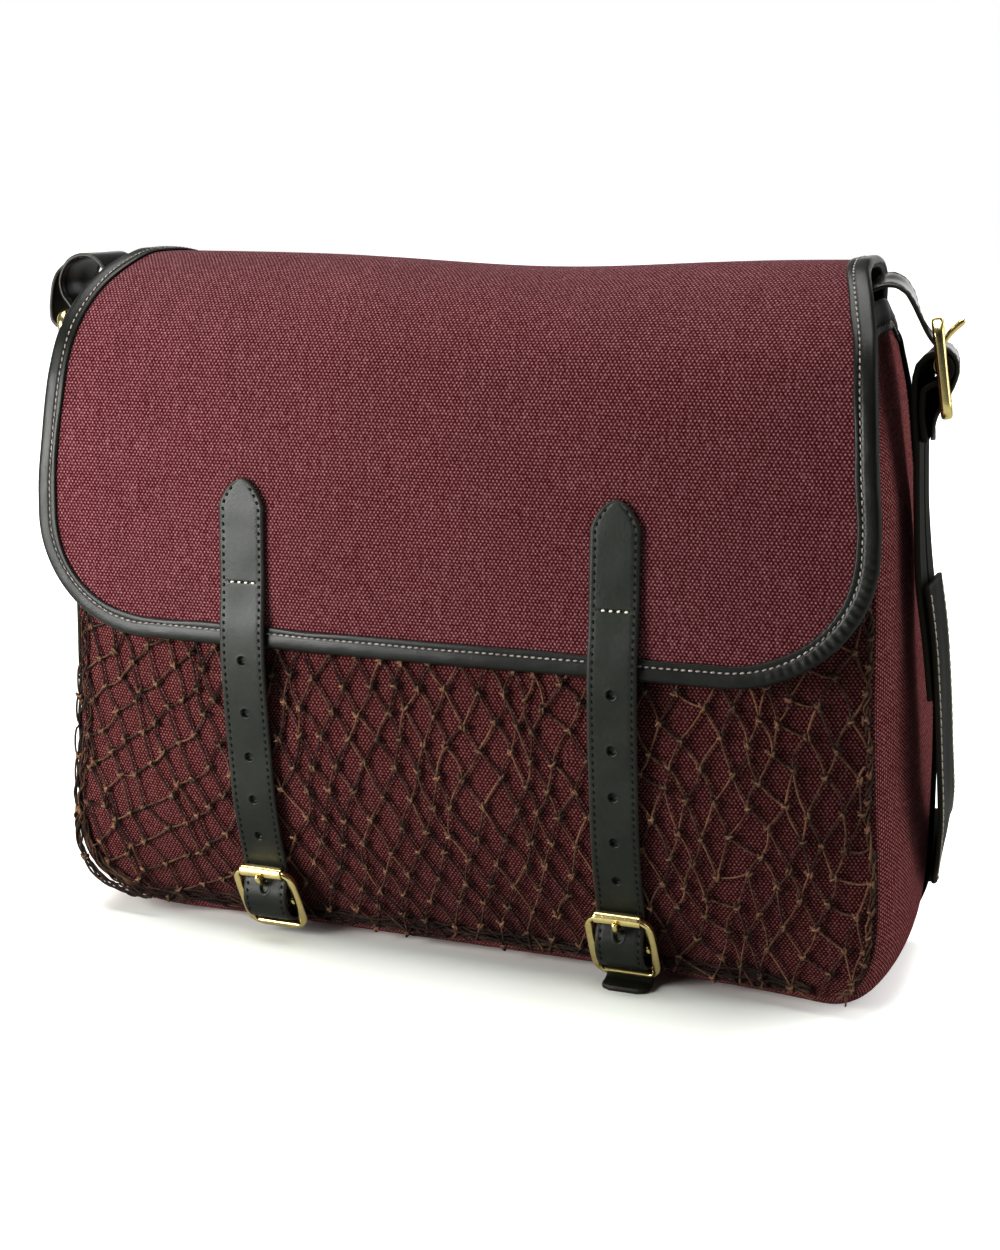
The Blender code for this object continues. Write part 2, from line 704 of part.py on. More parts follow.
def back_piping():
    """Make the rolled leather piping that follows the back seam."""
    line = seam_outline(seam_back_half, SEAM_BACK_Z, (2, 3), BACK_TOP_Z - 8)
    along = unit(np.gradient(line, axis=0))
    out = np.column_stack([along[:, 1], -along[:, 0]])
    centres = np.column_stack([line[:, 0] + 0.9 * out[:, 0], back_y(*line.T) + 2.3, line[:, 1] + 0.9 * out[:, 1]])
    centres[0, 2] -= 4.0
    centres[-1, 2] -= 4.0
    sweep("back_piping", rods(centres, np.full(len(centres), 1.8), 5, (0, 1, 0)), "leather")


# Flap

flap_line, FLAP_LENGTH = route(FLAP_PROFILE)
flap_half = graph(FLAP_WIDTHS, 0, 1)


def flap_point(x, s, height):
    """Return points of the flap at a distance across, along and out from its outer face."""
    x, s = np.asarray(x, float), np.asarray(s, float)
    flat = s.reshape(-1)
    here = flap_line(flat)
    along = unit(flap_line(flat + 1.0) - flap_line(flat - 1.0))
    y, z = here[:, 0].reshape(s.shape), here[:, 1].reshape(s.shape)
    ny, nz = along[:, 1].reshape(s.shape), -along[:, 0].reshape(s.shape)
    fullness = 1.6 * np.exp(-(x / 70.0) ** 2)
    crest = np.exp(-((s - 75.0) / 55.0) ** 2)
    sag = -6.0 * np.exp(-((x - 28.0) / 85.0) ** 2) * crest
    return np.stack([x, y - fullness * np.clip((s - 150.0) / 60.0, 0, 1) + ny * height,
                     z + sag + nz * height], axis=-1)


def flap_outline(inset):
    """Return the flap's free edge as (x, along), down the left, along the front, up the right."""
    stations = (0.0, 16.0, 27.0, 38.5, 54.0, 71.0, 89.0, 106.0, 125.0, 142.0, 156.0, 174.0, 194.0, 214.0,
                234.0)
    length = FLAP_LENGTH - inset
    paths = []
    for side in ("left", "right"):
        rx, rs = FLAP_CORNERS[side]
        line = [(float(flap_half(s)) - inset, s) for s in stations]
        base, start = line[-1][0], FLAP_LENGTH - rs
        line.append((base, start))
        for angle in (15.0, 30.0, 45.0, 60.0, 75.0, 90.0):
            c, s = math.cos(math.radians(angle)), math.sin(math.radians(angle))
            line.append((base - (rx - inset) * (1 - c), start + (length - start) * s))
        paths.append(line)
    left, right = paths
    bottom = [(x, length) for x in np.linspace(-left[-1][0], right[-1][0], 8)[1:-1]]
    return np.array([(-x, s) for x, s in left] + bottom + right[::-1])


def flap():
    """Make the canvas flap."""
    outline = flap_outline(2.6)
    corner = 15 + 3
    left, bottom, right = outline[:corner + 1], outline[corner:-corner], outline[:-corner - 2:-1]
    top = np.linspace(outline[0], outline[-1], len(bottom))
    grid = coons(left, bottom, right, top)
    x, s = grid[..., 0], grid[..., 1]
    wall("flap", flap_point(x, s, 0.0), flap_point(x, s, -CANVAS), "canvas")


def flap_binding():
    """Make the leather binding folded over the flap's two sides and front edge."""
    outline = flap_outline(0.0)
    along = unit(np.gradient(outline, axis=0))
    inward = np.column_stack([-along[:, 1], along[:, 0]])
    inward[np.abs(outline[:, 0]) < 100] = (0.0, -1.0)
    inward *= np.sign(np.sum(inward * (np.array([0.0, 150.0]) - outline), axis=1))[:, None]
    t, w = THIN_LEATHER, CANVAS
    shape = [(BINDING_WIDTH, GAP), (1.5, GAP), (1.5, -w - GAP), (8.5, -w - GAP), (8.5, -w - GAP - t),
             (1.4, -w - GAP - t), (0.0, -w / 2), (1.2, GAP + t), (3.4, GAP + t + 0.4),
             (BINDING_WIDTH, GAP + t - 0.1)]
    sections = []
    for distance, height in shape:
        at = outline + distance * inward
        sections.append(flap_point(at[:, 0], at[:, 1], height))
    sweep("flap_binding", np.stack(sections, axis=1), "leather")


# Net

def net_place(u, v, depth):
    """Return net points: u runs from side to side, v from the bottom up, depth into the bag."""
    z = NET_BOTTOM + (NET_TOP - NET_BOTTOM) * v
    low = np.clip((50.0 - z) / 41.0, 0, 1)
    limits = []
    for side in ("left", "right"):
        rounding = 0.75 * CORNERS[side][0] * (1 - np.sqrt(1 - low ** 2))
        limits.append(seam_front_half(z) - NET_SIDE_MARGINS[side] - rounding)
    x = -limits[0] + (limits[0] + limits[1]) * u
    stand_off = NET_STAND_OFF + 1.4 * math.exp(-z / 22.0)
    return (float(x), float(front_y(x, z) - stand_off - NET_CORD + depth), float(z))


def net_pocket():
    """Make the net as an openwork sheet: staggered diamond gaps inside a firm edge."""
    du, dv = 1.0 / NET_COLUMNS, 1.0 / NET_ROWS
    index, verts, faces = {}, [], []

    def corner(point, depth):
        key = (round(point[0], 5), round(point[1], 5), depth)
        if key not in index:
            index[key] = len(verts)
            verts.append(net_place(*point, depth))
        return index[key]

    def plate(loop):
        faces.append([corner(p, 0.0) for p in loop])
        faces.append([corner(p, NET_CORD) for p in loop[::-1]])

    def mesh_gap(u, v):
        loop = [(u - du / 2, v), (u, v - dv / 2), (u + du / 2, v), (u, v + dv / 2)]
        hole = [(u + (a - u) * NET_OPEN_SHARE, v + (b - v) * NET_OPEN_SHARE) for a, b in loop]
        for i in range(4):
            j = (i + 1) % 4
            plate([loop[i], loop[j], hole[j], hole[i]])
            faces.append([corner(hole[i], 0.0), corner(hole[j], 0.0),
                          corner(hole[j], NET_CORD), corner(hole[i], NET_CORD)])

    for row in range(NET_ROWS):
        for col in range(NET_COLUMNS):
            mesh_gap(du * (col + 0.5), dv * (row + 0.5))
            if row and col:
                mesh_gap(du * col, dv * row)
    for col in range(NET_COLUMNS):
        for edge, inner in ((0.0, dv / 2), (1.0, 1 - dv / 2)):
            left, middle, right = du * col, du * (col + 0.5), du * (col + 1)
            plate([(left, edge), (middle, edge), (left, inner)])
            plate([(middle, edge), (right, edge), (right, inner)])
    for row in range(1, NET_ROWS):
        for edge, inner in ((0.0, du / 2), (1.0, 1 - du / 2)):
            plate([(edge, dv * (row - 0.5)), (inner, dv * row), (edge, dv * (row + 0.5))])
    around = ([(du * k / 2, 0.0) for k in range(2 * NET_COLUMNS + 1)]
              + [(1.0, dv * (k + 0.5)) for k in range(NET_ROWS)]
              + [(du * k / 2, 1.0) for k in range(2 * NET_COLUMNS, -1, -1)]
              + [(0.0, dv * (k + 0.5)) for k in range(NET_ROWS - 1, -1, -1)])
    for a, b in zip(around, around[1:] + around[:1]):
        faces.append([corner(a, 0.0), corner(b, 0.0), corner(b, NET_CORD), corner(a, NET_CORD)])
    add("net_pocket", verts, faces, "cord")


# Straps and buckles

def buckle_point(size, q, n):
    """Return flat points of a buckle: q up from its centre bar, n out from its plane."""
    top, bottom = np.array(size["top"], float), np.array(size["bottom"], float)
    up = unit(top - bottom)
    out = np.array([up[1], -up[0]]) * np.sign(top[0])
    q, n = np.asarray(q, float)[..., None], np.asarray(n, float)[..., None]
    return (top + bottom) / 2 + q * up + n * out


def front_view(side, points, lean):
    """Turn (x, z) points of the right side into space for one side, square to a leaning width."""
    sign = 1.0 if side == "right" else -1.0
    points = np.asarray(points, float)
    lean = np.broadcast_to(lean, points.shape[:-1])
    across = points[..., 0] - SHOULDER_X
    return np.stack([sign * (SHOULDER_X + across * np.sqrt(1 - lean ** 2)),
                     SHOULDER_Y - np.clip(across, -9.0, 9.0) * lean,
                     points[..., 1]], axis=-1)


def side_view(x, points):
    """Turn (y, z) points into space at a distance across."""
    points = np.asarray(points, float)
    return np.stack([np.full(points.shape[:-1], x), points[..., 0], points[..., 1]], axis=-1)


def band_place(line, width_line, centred, thickness):
    """Return a placing function for a band: along its line, across its width, into its depth."""
    def place(s, t, depth):
        here, width = line(s), unit(width_line(s))
        along = unit(line(s + 0.4) - line(s - 0.4))
        out = unit(np.cross(along, width))
        lift = thickness / 2 - depth if centred else -depth
        return here + t[:, None] * width + lift[:, None] * out
    return place


def steady(direction):
    """Return a width line that keeps one direction."""
    return lambda s: np.tile(np.array(direction, float), (len(np.atleast_1d(s)), 1))


def leaning(points, table, sign):
    """Return a width line that follows the lean and rise given with each point of a table."""
    stations = np.concatenate([[0.0], np.cumsum(np.linalg.norm(np.diff(points, axis=0), axis=1))])
    rows = np.array(table)

    def width(s):
        lean, rise = (np.interp(s, stations, rows[:, k]) for k in (2, 3))
        return unit(np.column_stack([sign * lean, np.sqrt(1 - lean ** 2), rise]))
    return width


def nearest(line, length, point):
    """Return the distance along a line where it passes nearest to a point."""
    s = np.linspace(0, length, 2000)
    return float(s[np.argmin(np.linalg.norm(line(s) - np.array(point, float), axis=1))])


def strap_route(side):
    """Return the side-view route of a flap strap's outer face, through its buckle to its tail."""
    through = [tuple(buckle_point(FLAP_BUCKLE, q, n)) for q, n in STRAP_IN_BUCKLE]
    return STRAP_PROFILE + through + STRAP_TAILS[side]


def flap_straps():
    """Make the two straps sewn to the flap, each with its row of holes, down through its buckle."""
    half = FLAP_STRAP_WIDTH / 2
    for side, x in FLAP_STRAP_X.items():
        points = side_view(x, strap_route(side))
        line, length = route(points)
        outline = [(length, half - 5), (length - 4, half), (14.0, half), (6.0, half * 0.62), (0.0, 0.0),
                   (6.0, -half * 0.62), (14.0, -half), (length - 4, -half), (length, 5 - half)]
        holes = [circle((nearest(line, length, (x, *hole)), 0.0), HOLE_RADIUS)
                 for hole in zip(graph(STRAP_PROFILE, 1, 0)(STRAP_HOLES_Z), STRAP_HOLES_Z)]
        prong = nearest(line, length, (x, *buckle_point(FLAP_BUCKLE, *STRAP_PRONG_HOLE)))
        holes.append(circle((prong, 0.0), HOLE_RADIUS, stretch=1.7))
        fine = nearest(line, length, points[len(STRAP_PROFILE)])
        lines = [24.0, 42.0, 58.0, 68.0, 77.0, 83.0, 96.0, 107.0, 122.0, 134.0, 145.0, 157.0, 168.0]
        lines = [s for s in lines if s < fine - 4]
        lines += [nearest(line, length, point) for point in points[len(STRAP_PROFILE):-1]]
        place = band_place(line, steady((1, 0, 0)), False, LEATHER)
        cut_band("front_strap_" + side, outline, holes, lines, place, LEATHER, "leather")


def hook(size, radius, ring, shaft, across, place):
    """Return sections of a prong: bent round the centre bar, then along its shaft to the tip."""
    angles = np.radians([15, 50, 85, 120, 155, 190, 225, 260, 290])
    rows = np.array([(ring * math.cos(a), ring * math.sin(a), radius) for a in angles] + shaft)
    centres = place(buckle_point(size, rows[:, 0], rows[:, 1]))
    return rods(centres, rows[:, 2], 6, across)


def flap_buckles():
    """Make the roller buckles that hold the flap straps, with their thin chapes."""
    size = FLAP_BUCKLE
    bar = size["bar"] / 2
    for side, x0 in FLAP_STRAP_X.items():
        def place(points, x0=x0):
            return side_view(x0, points)

        def frame_place(x, y, depth, x0=x0):
            return tuple(place(buckle_point(size, y, depth)) + (x, 0, 0))

        buckle_frame("front_buckle_" + side, size, frame_place)
        ring = bar * 1.1 + 0.35 + 1.0
        sweep("front_prong_" + side, hook(size, 1.0, ring, FLAP_PRONG, (1, 0, 0), place), "brass")
        axis = place(buckle_point(size, BAR_SPACING, 0.0))
        length = size["inner"] / 2 - 1.3
        verts, faces, sides = [], [], 10
        for end, radius in ((-1, ROLLER_RADIUS), (1, ROLLER_RADIUS), (1, ROLLER_BORE), (-1, ROLLER_BORE)):
            for k in range(sides):
                a = 2 * math.pi * k / sides
                verts.append(tuple(axis + (end * length, radius * math.cos(a), radius * math.sin(a))))
        for layer in range(4):
            for k in range(sides):
                n, up = (k + 1) % sides, (layer + 1) % 4
                faces.append((layer * sides + k, layer * sides + n, up * sides + n, up * sides + k))
        add("front_roller_" + side, verts, faces, "brass")
        wrap = bar * 1.1 + 0.45 + THIN_LEATHER / 2
        turn = [(wrap * math.cos(math.radians(a)), wrap * math.sin(math.radians(a)))
                for a in (-85, -50, -15, 20, 55, 90, 125, 160, 190)]
        flat = np.array([(-10.0, -4.7), (-8.0, -4.5), (-4.9, -4.1), (-2.2, -3.8)] + turn
                        + [(-5.4, -1.3), (-9.0, -2.2)])
        line, total = route(place(buckle_point(size, flat[:, 0], flat[:, 1])))
        half = FLAP_STRAP_WIDTH / 2 - 0.9
        start, end = (nearest(line, total, place(buckle_point(size, *flat[k]))) for k in (2, 13))
        outline = [(0.0, -half), (total, -half), (total, half), (0.0, half)]
        lines = list(np.linspace(start, end, 12))
        place_band = band_place(line, steady((1, 0, 0)), True, THIN_LEATHER)
        cut_band("front_chape_" + side, outline, [slot(start, end, 1.9, lines)], lines, place_band,
                 THIN_LEATHER, "leather")


def side_fittings():
    """Make the billets, buckles and chapes that join the shoulder strap to the bag."""
    half = SHOULDER_WIDTH / 2
    for side in ("left", "right"):
        sign = 1.0 if side == "right" else -1.0
        size = {**SIDE_BUCKLE, **SIDE_BUCKLE_LINES[side]}
        lean = size["lean"]
        width = np.array([sign * lean, math.sqrt(1 - lean ** 2), 0.0])

        def place(points, side=side, lean=lean):
            return front_view(side, points, lean)

        def frame_place(x, y, depth):
            return tuple(place(buckle_point(size, y, depth)) + x * width)

        buckle_frame("side_buckle_" + side, size, frame_place)
        ring = size["bar"] / 2 * 1.15 + 0.3 + 1.1
        sweep("side_prong_" + side, hook(size, 1.1, ring, SIDE_PRONGS[side], width, place), "brass")

        rows = np.array(BILLETS[side])
        points = front_view(side, rows[:, :2], rows[:, 2])
        line, total = route(points)
        crossing = nearest(line, total, place(BILLET_PRONG_HOLES[side]))
        holes = [circle((crossing, 0.0), 2.1, stretch=1.9)]
        outline = [(0.0, -half + 1), (total - 12, -half + 1), (total - 4, -half * 0.72), (total, -half * 0.3),
                   (total, half * 0.3), (total - 4, half * 0.72), (total - 12, half - 1), (0.0, half - 1)]
        lines = [s for s in np.arange(14.0, total - 13.0, 5.2) if s > 40 or s < 20]
        place_band = band_place(line, leaning(points, BILLETS[side], sign), True, BILLET_LEATHER)
        cut_band("side_billet_" + side, outline, holes, lines, place_band, BILLET_LEATHER, "leather")

        rows = np.array(CHAPES[side])
        points = front_view(side, rows[:, :2], rows[:, 2])
        line, total = route(points)
        start, end = (nearest(line, total, place(point)) for point in CHAPE_SLOTS[side])
        outline = [(0.0, -half), (total, -half), (total, half), (0.0, half)]
        lines = [26.0, 52.0, 82.0, 112.0, 126.0, 136.0, 142.0, 148.0]
        lines = [s for s in lines if s < start - 3] + list(np.linspace(start, end, 8)) + [end + 4.0, end + 10.0]
        place_band = band_place(line, leaning(points, CHAPES[side], sign), True, CHAPE_LEATHER)
        cut_band("side_chape_" + side, outline, [slot(start, end, 2.2, lines)], lines, place_band,
                 CHAPE_LEATHER, "leather")


def shoulder_strap():
    """Make the shoulder strap: down from one chape, across the floor behind the bag, up to the other."""
    right = np.array(STRAP_ROUTE)
    left = right.copy()
    left[:len(LEFT_STRAP_X), 0] = LEFT_STRAP_X
    left *= (-1, 1, 1, -1, 1, 1)
    whole = np.concatenate([right, left[-2::-1]])
    line, total = route(whole[:, :3])
    stations = np.concatenate([[0.0], np.cumsum(np.linalg.norm(np.diff(whole[:, :3], axis=0), axis=1))])

    def width_line(s):
        s = np.atleast_1d(s)
        width = unit(np.column_stack([np.interp(s, stations, whole[:, k]) for k in (3, 4, 5)]))
        along = unit(line(s + 0.4) - line(s - 0.4))
        return width - along * np.sum(width * along, axis=1, keepdims=True)

    half = SHOULDER_WIDTH / 2
    outline = [(0.0, -half), (total, -half), (total, half), (0.0, half)]
    rows = np.array([6.0, 7.0, 7.5, 8.0, 9.0])
    turns = np.interp([*rows, *(len(whole) - 1 - rows)], np.arange(len(whole)), stations)
    lines = sorted([*np.linspace(0, total, 37)[1:-1], *turns])
    flat_place = band_place(line, width_line, True, STRAP_LEATHER)

    def place(s, t, depth):
        corners = [flat_place(s, np.full_like(s, w), np.full_like(s, d))[:, 2]
                   for w in (-half, half) for d in (0.0, STRAP_LEATHER)]
        lift = np.maximum(0.05 - np.min(corners, axis=0), 0.0)
        return flat_place(s, t, depth) + lift[:, None] * (0, 0, 1)

    cut_band("shoulder_strap", outline, [], lines, place, STRAP_LEATHER, "leather")


def main():
    """Clear the scene and build every piece."""
    for item in list(bpy.data.objects):
        bpy.data.objects.remove(item, do_unlink=True)
    front = seam_outline(seam_front_half, SEAM_FRONT_Z, (0, 1), SEAM_Z[0])
    back = seam_outline(seam_back_half, SEAM_BACK_Z, (2, 3), BACK_TOP_Z)
    panel("front_panel", front, front_y, CANVAS)
    panel("back_panel", back, back_y, -CANVAS)
    gusset()
    gusset_bindings()
    back_piping()
    flap()
    flap_binding()
    net_pocket()
    flap_straps()
    flap_buckles()
    side_fittings()
    shoulder_strap()


main()
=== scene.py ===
"""Looks of a net-fronted game bag: burgundy canvas, near-black leather, polished brass and knotted cord.

Lengths in the tables are millimetres and turn to metres where a mesh is made.  X runs to the right,
Y to the back and Z up, and the origin is the middle of the flat bottom.
"""

import logging
import math
from dataclasses import dataclass, field
from enum import Enum
from typing import Any, Callable, Sequence

import bpy
import numpy as np
from numpy.typing import NDArray
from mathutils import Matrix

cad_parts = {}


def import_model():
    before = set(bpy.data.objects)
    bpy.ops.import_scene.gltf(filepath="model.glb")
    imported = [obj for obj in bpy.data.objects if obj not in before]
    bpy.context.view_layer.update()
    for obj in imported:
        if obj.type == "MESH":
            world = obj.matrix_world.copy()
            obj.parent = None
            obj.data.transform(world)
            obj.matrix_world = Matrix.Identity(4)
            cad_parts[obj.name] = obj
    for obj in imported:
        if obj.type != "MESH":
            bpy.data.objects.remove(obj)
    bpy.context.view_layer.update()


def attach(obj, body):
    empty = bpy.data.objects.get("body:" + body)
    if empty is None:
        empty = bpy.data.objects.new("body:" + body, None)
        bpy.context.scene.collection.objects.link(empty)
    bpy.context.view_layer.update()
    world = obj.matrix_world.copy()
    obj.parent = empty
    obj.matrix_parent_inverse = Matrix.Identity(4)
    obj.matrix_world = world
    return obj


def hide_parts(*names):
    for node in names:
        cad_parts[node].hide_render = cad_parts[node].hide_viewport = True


Array = NDArray[np.float64]
Rows = Sequence[tuple[float, ...]]
Triple = tuple[float, float, float]
Material = bpy.types.Material
Socket = bpy.types.NodeSocket
MM = 0.001
UV_UNIT = 0.01
DEPTH = (0.0, 1.0, 0.0)
log = logging.getLogger("game_bag")


class Side(Enum):
    """The wearer's two sides, seen from the front."""

    LEFT = "left"
    RIGHT = "right"

    @property
    def sign(self) -> float:
        """Give -1 on the left and 1 on the right."""
        return 1.0 if self is Side.RIGHT else -1.0


class Slot(Enum):
    """The record's material slots."""

    CANVAS = "canvas"
    LEATHER = "leather"
    BRASS = "brass"
    CORD = "cord"


# Shader maths


class Signal:
    """A shader socket that takes part in Python expressions."""

    def __init__(self, recipe: "Recipe", socket: Socket) -> None:
        """Wrap one output socket of a recipe's tree."""
        self.recipe = recipe
        self.socket = socket

    def math(self, operation: str, *others: "Signal | float", first: bool = True) -> "Signal":
        """Add a Math node.

        Args:
            operation: the node's operation.
            others: the other values, numbers or signals.
            first: whether this signal is the first value.

        Returns:
            The result as a signal.
        """
        values = [self, *others] if first else [*others, self]
        node = self.recipe.node("ShaderNodeMath", {"operation": operation}, dict(enumerate(values)))
        return Signal(self.recipe, node.outputs[0])

    def __add__(self, other: "Signal | float") -> "Signal":
        """Add."""
        return self.math("ADD", other)

    __radd__ = __add__

    def __sub__(self, other: "Signal | float") -> "Signal":
        """Subtract."""
        return self.math("SUBTRACT", other)

    def __rsub__(self, other: "Signal | float") -> "Signal":
        """Subtract this from another value."""
        return self.math("SUBTRACT", other, first=False)

    def __mul__(self, other: "Signal | float") -> "Signal":
        """Multiply."""
        return self.math("MULTIPLY", other)

    def cos(self) -> "Signal":
        """Give the cosine."""
        return self.math("COSINE")

    def step(self, low: float, high: float) -> "Signal":
        """Rise smoothly from 0 at low to 1 at high."""
        settings = {"interpolation_type": "SMOOTHSTEP"}
        node = self.recipe.node("ShaderNodeMapRange", settings, {"Value": self, "From Min": low, "From Max": high})
        return Signal(self.recipe, node.outputs[0])


class Recipe:
    """One material under construction: its tree, its shader and the few nodes that are asked for."""

    def __init__(self, name: str, world: bool = False) -> None:
        """Start an empty Principled material, or a world's backdrop."""
        self.material = (bpy.data.worlds if world else bpy.data.materials).new(name)
        self.material.use_nodes = True
        self.tree = self.material.node_tree
        self.shader = self.tree.nodes["Background" if world else "Principled BSDF"]

    def node(self, kind: str, settings: dict[str, Any], inputs: dict[Any, Any]) -> bpy.types.Node:
        """Add any node.

        Args:
            kind: the node's type.
            settings: its properties, set first.
            inputs: socket name or number to a value, a socket or a signal.

        Returns:
            The node.
        """
        node = self.tree.nodes.new(kind)
        for key, value in settings.items():
            setattr(node, key, value)
        for key, value in inputs.items():
            self.feed(node.inputs[key], value)
        return node

    def feed(self, socket: Socket, value: Any) -> None:
        """Set or link one input socket."""
        if isinstance(value, Signal):
            self.tree.links.new(value.socket, socket)
        elif isinstance(value, Socket):
            self.tree.links.new(value, socket)
        elif isinstance(value, tuple) and len(value) == 3 and socket.type == "RGBA":
            socket.default_value = (*value, 1.0)
        else:
            socket.default_value = value

    def fabric(self) -> tuple[Signal, Signal]:
        """Give the piece's own two surface coordinates in millimetres."""
        u, v, _ = self.parts(self.node("ShaderNodeUVMap", {"uv_map": "surface"}, {}).outputs[0])
        return u * (1 / UV_UNIT), v * (1 / UV_UNIT)

    def space(self) -> Socket:
        """Give the place in space, in metres."""
        return self.node("ShaderNodeTexCoord", {}, {}).outputs["Object"]

    def join(self, x: "Signal | float", y: "Signal | float", z: "Signal | float" = 0.0) -> Socket:
        """Make a vector of three values."""
        return self.node("ShaderNodeCombineXYZ", {}, {0: x, 1: y, 2: z}).outputs[0]

    def parts(self, vector: Socket) -> tuple[Signal, Signal, Signal]:
        """Split a vector into its three values."""
        split = self.node("ShaderNodeSeparateXYZ", {}, {0: vector})
        return (Signal(self, split.outputs[0]), Signal(self, split.outputs[1]), Signal(self, split.outputs[2]))

    def seen(self) -> Signal:
        """Give 1 on rays that come straight from the camera and 0 on all others."""
        return Signal(self, self.node("ShaderNodeLightPath", {}, {}).outputs["Is Camera Ray"])

    def attribute(self, name: str) -> Signal:
        """Read one of the piece's own attributes."""
        return Signal(self, self.node("ShaderNodeAttribute", {"attribute_name": name}, {}).outputs["Fac"])

    def noise(self, vector: Socket, scale: float, detail: float = 2.0, rough: float = 0.5) -> Signal:
        """Give a smooth noise from 0 to 1.

        Args:
            vector: where to read it.
            scale: how many lumps to a unit.
            detail: how many finer layers are added.
            rough: how strong those are.
        """
        inputs = {"Vector": vector, "Scale": scale, "Detail": detail, "Roughness": rough}
        return Signal(self, self.node("ShaderNodeTexNoise", {}, inputs).outputs[0])

    def mix(self, factor: "Signal | float", first: Any, second: Any, blend: str = "MIX") -> Socket:
        """Mix two colours.

        Args:
            factor: how much of the second shows.
            first: a colour or socket.
            second: a colour or socket.
            blend: the way they mix.
        """
        node = self.node("ShaderNodeMix", {"data_type": "RGBA", "blend_type": blend}, {})
        for number, value in ((0, factor), (6, first), (7, second)):
            self.feed(node.inputs[number], value)
        return node.outputs[2]

    def bump(self, height: Signal, distance_mm: float, strength: float) -> Socket:
        """Turn a height from 0 to 1 into a bent normal.

        Args:
            height: the relief.
            distance_mm: how deep its whole range is.
            strength: how much of it shows.
        """
        inputs = {"Height": height, "Distance": distance_mm * MM, "Strength": strength}
        return self.node("ShaderNodeBump", {}, inputs).outputs[0]

    def finish(self, constants: dict[str, float], **links: Any) -> Material:
        """Set the shader's plain values and links, and give the material."""
        for name, value in constants.items():
            self.feed(self.shader.inputs[name], value)
        for name, value in links.items():
            self.feed(self.shader.inputs[name.replace("_", " ")], value)
        return self.material


# Finishes


@dataclass(frozen=True)
class Canvas:
    """Coarse two-tone duck: pale warp dots over a darker weft, a little uneven from yarn to yarn."""

    name: str
    ground: Triple = (0.086, 0.0045, 0.0075)
    crown: Triple = (0.350, 0.186, 0.202)
    pitch: float = 1.92
    rise: float = 1.54
    sheen: float = 0.04

    def material(self) -> Material:
        """Build the material.

        The warp shows where cos(pi x) cos(pi y) + 0.45 cos(2 pi y) is high, with x and y counted in half
        pitches, so its dots stand in staggered rows as in a plain weave.
        """
        m = Recipe(self.name)
        u, v = m.fabric()
        wander = m.noise(m.join(u * 0.06, v * 0.012), 1.0, 2.0) - 0.5
        lift = m.noise(m.join(u * 0.012, v * 0.06), 1.0, 2.0) - 0.5
        x = (u + wander * 0.9) * (2 / self.pitch)
        y = (v + lift * 0.9) * (2 / (self.pitch * self.rise))
        cross = (x * math.pi).cos() * (y * math.pi).cos() + (y * (2 * math.pi)).cos() * 0.45
        warp = m.noise(m.join(u * 1.37, v * 0.045), 1.0, 1.0)
        weft = m.noise(m.join(u * 0.045, v * 1.6), 1.0, 1.0)
        fuzz = m.noise(m.space(), 700.0, 2.0, 0.6)
        slub = m.noise(m.join(u * 0.9, v * 1.1), 1.0, 1.0) - 0.5
        dots = (cross * 0.85 + (warp - 0.5) * 0.6 + (fuzz - 0.5) * 1.7 + slub * 0.9).step(-0.62, 1.35)
        patch = m.noise(m.join(u * 0.011, v * 0.008), 1.0, 3.0)
        tone = 0.64 + patch * 0.18 + (weft - 0.5) * 0.20 + (warp - 0.5) * 0.16 + (fuzz - 0.5) * 0.30
        colour = m.mix(dots, self.ground, self.crown)
        colour = m.mix(1.0, colour, m.join(tone, tone, tone), "MULTIPLY")
        rough = 0.80 + fuzz * 0.16
        relief = m.bump(cross * 0.5 + 0.5 + (fuzz - 0.5) * 0.35, 0.50, 0.8)
        plain = {"Sheen Weight": self.sheen, "Sheen Roughness": 0.5, "Specular IOR Level": self.sheen * 2}
        return m.finish(plain, Base_Color=colour, Roughness=rough, Normal=relief)


@dataclass(frozen=True)
class Hide:
    """Waxed bridle leather: near black with a green-brown cast, a soft sheen and a paler cut edge."""

    name: str
    face: Triple = (0.0100, 0.0100, 0.0078)
    worn: Triple = (0.026, 0.026, 0.021)
    edge: Triple = (0.030, 0.026, 0.020)
    gloss: float = 0.34
    shine: float = 0.38
    grain: float = 0.45

    def material(self) -> Material:
        """Build the material: fine pores, a wrinkled finer grain and cloudy wear, all fixed in space."""
        m = Recipe(self.name)
        here = m.space()
        cloud = m.noise(here, 38.0, 3.0, 0.6)
        pores = m.noise(here, 1500.0, 2.0, 0.6)
        creases = m.noise(here, 420.0, 3.0, 0.55)
        edge = m.attribute("edge")
        colour = m.mix((cloud * 0.8 + creases * 0.3).step(0.42, 0.86), self.face, self.worn)
        colour = m.mix(edge.step(0.35, 0.9), colour, self.edge)
        rough = self.gloss + (cloud - 0.5) * 0.16 + (pores - 0.5) * 0.12 + edge * 0.18
        relief = m.bump(creases * 0.6 + pores * 0.4, 0.14, self.grain)
        return m.finish({"Specular IOR Level": self.shine}, Base_Color=colour, Roughness=rough, Normal=relief)


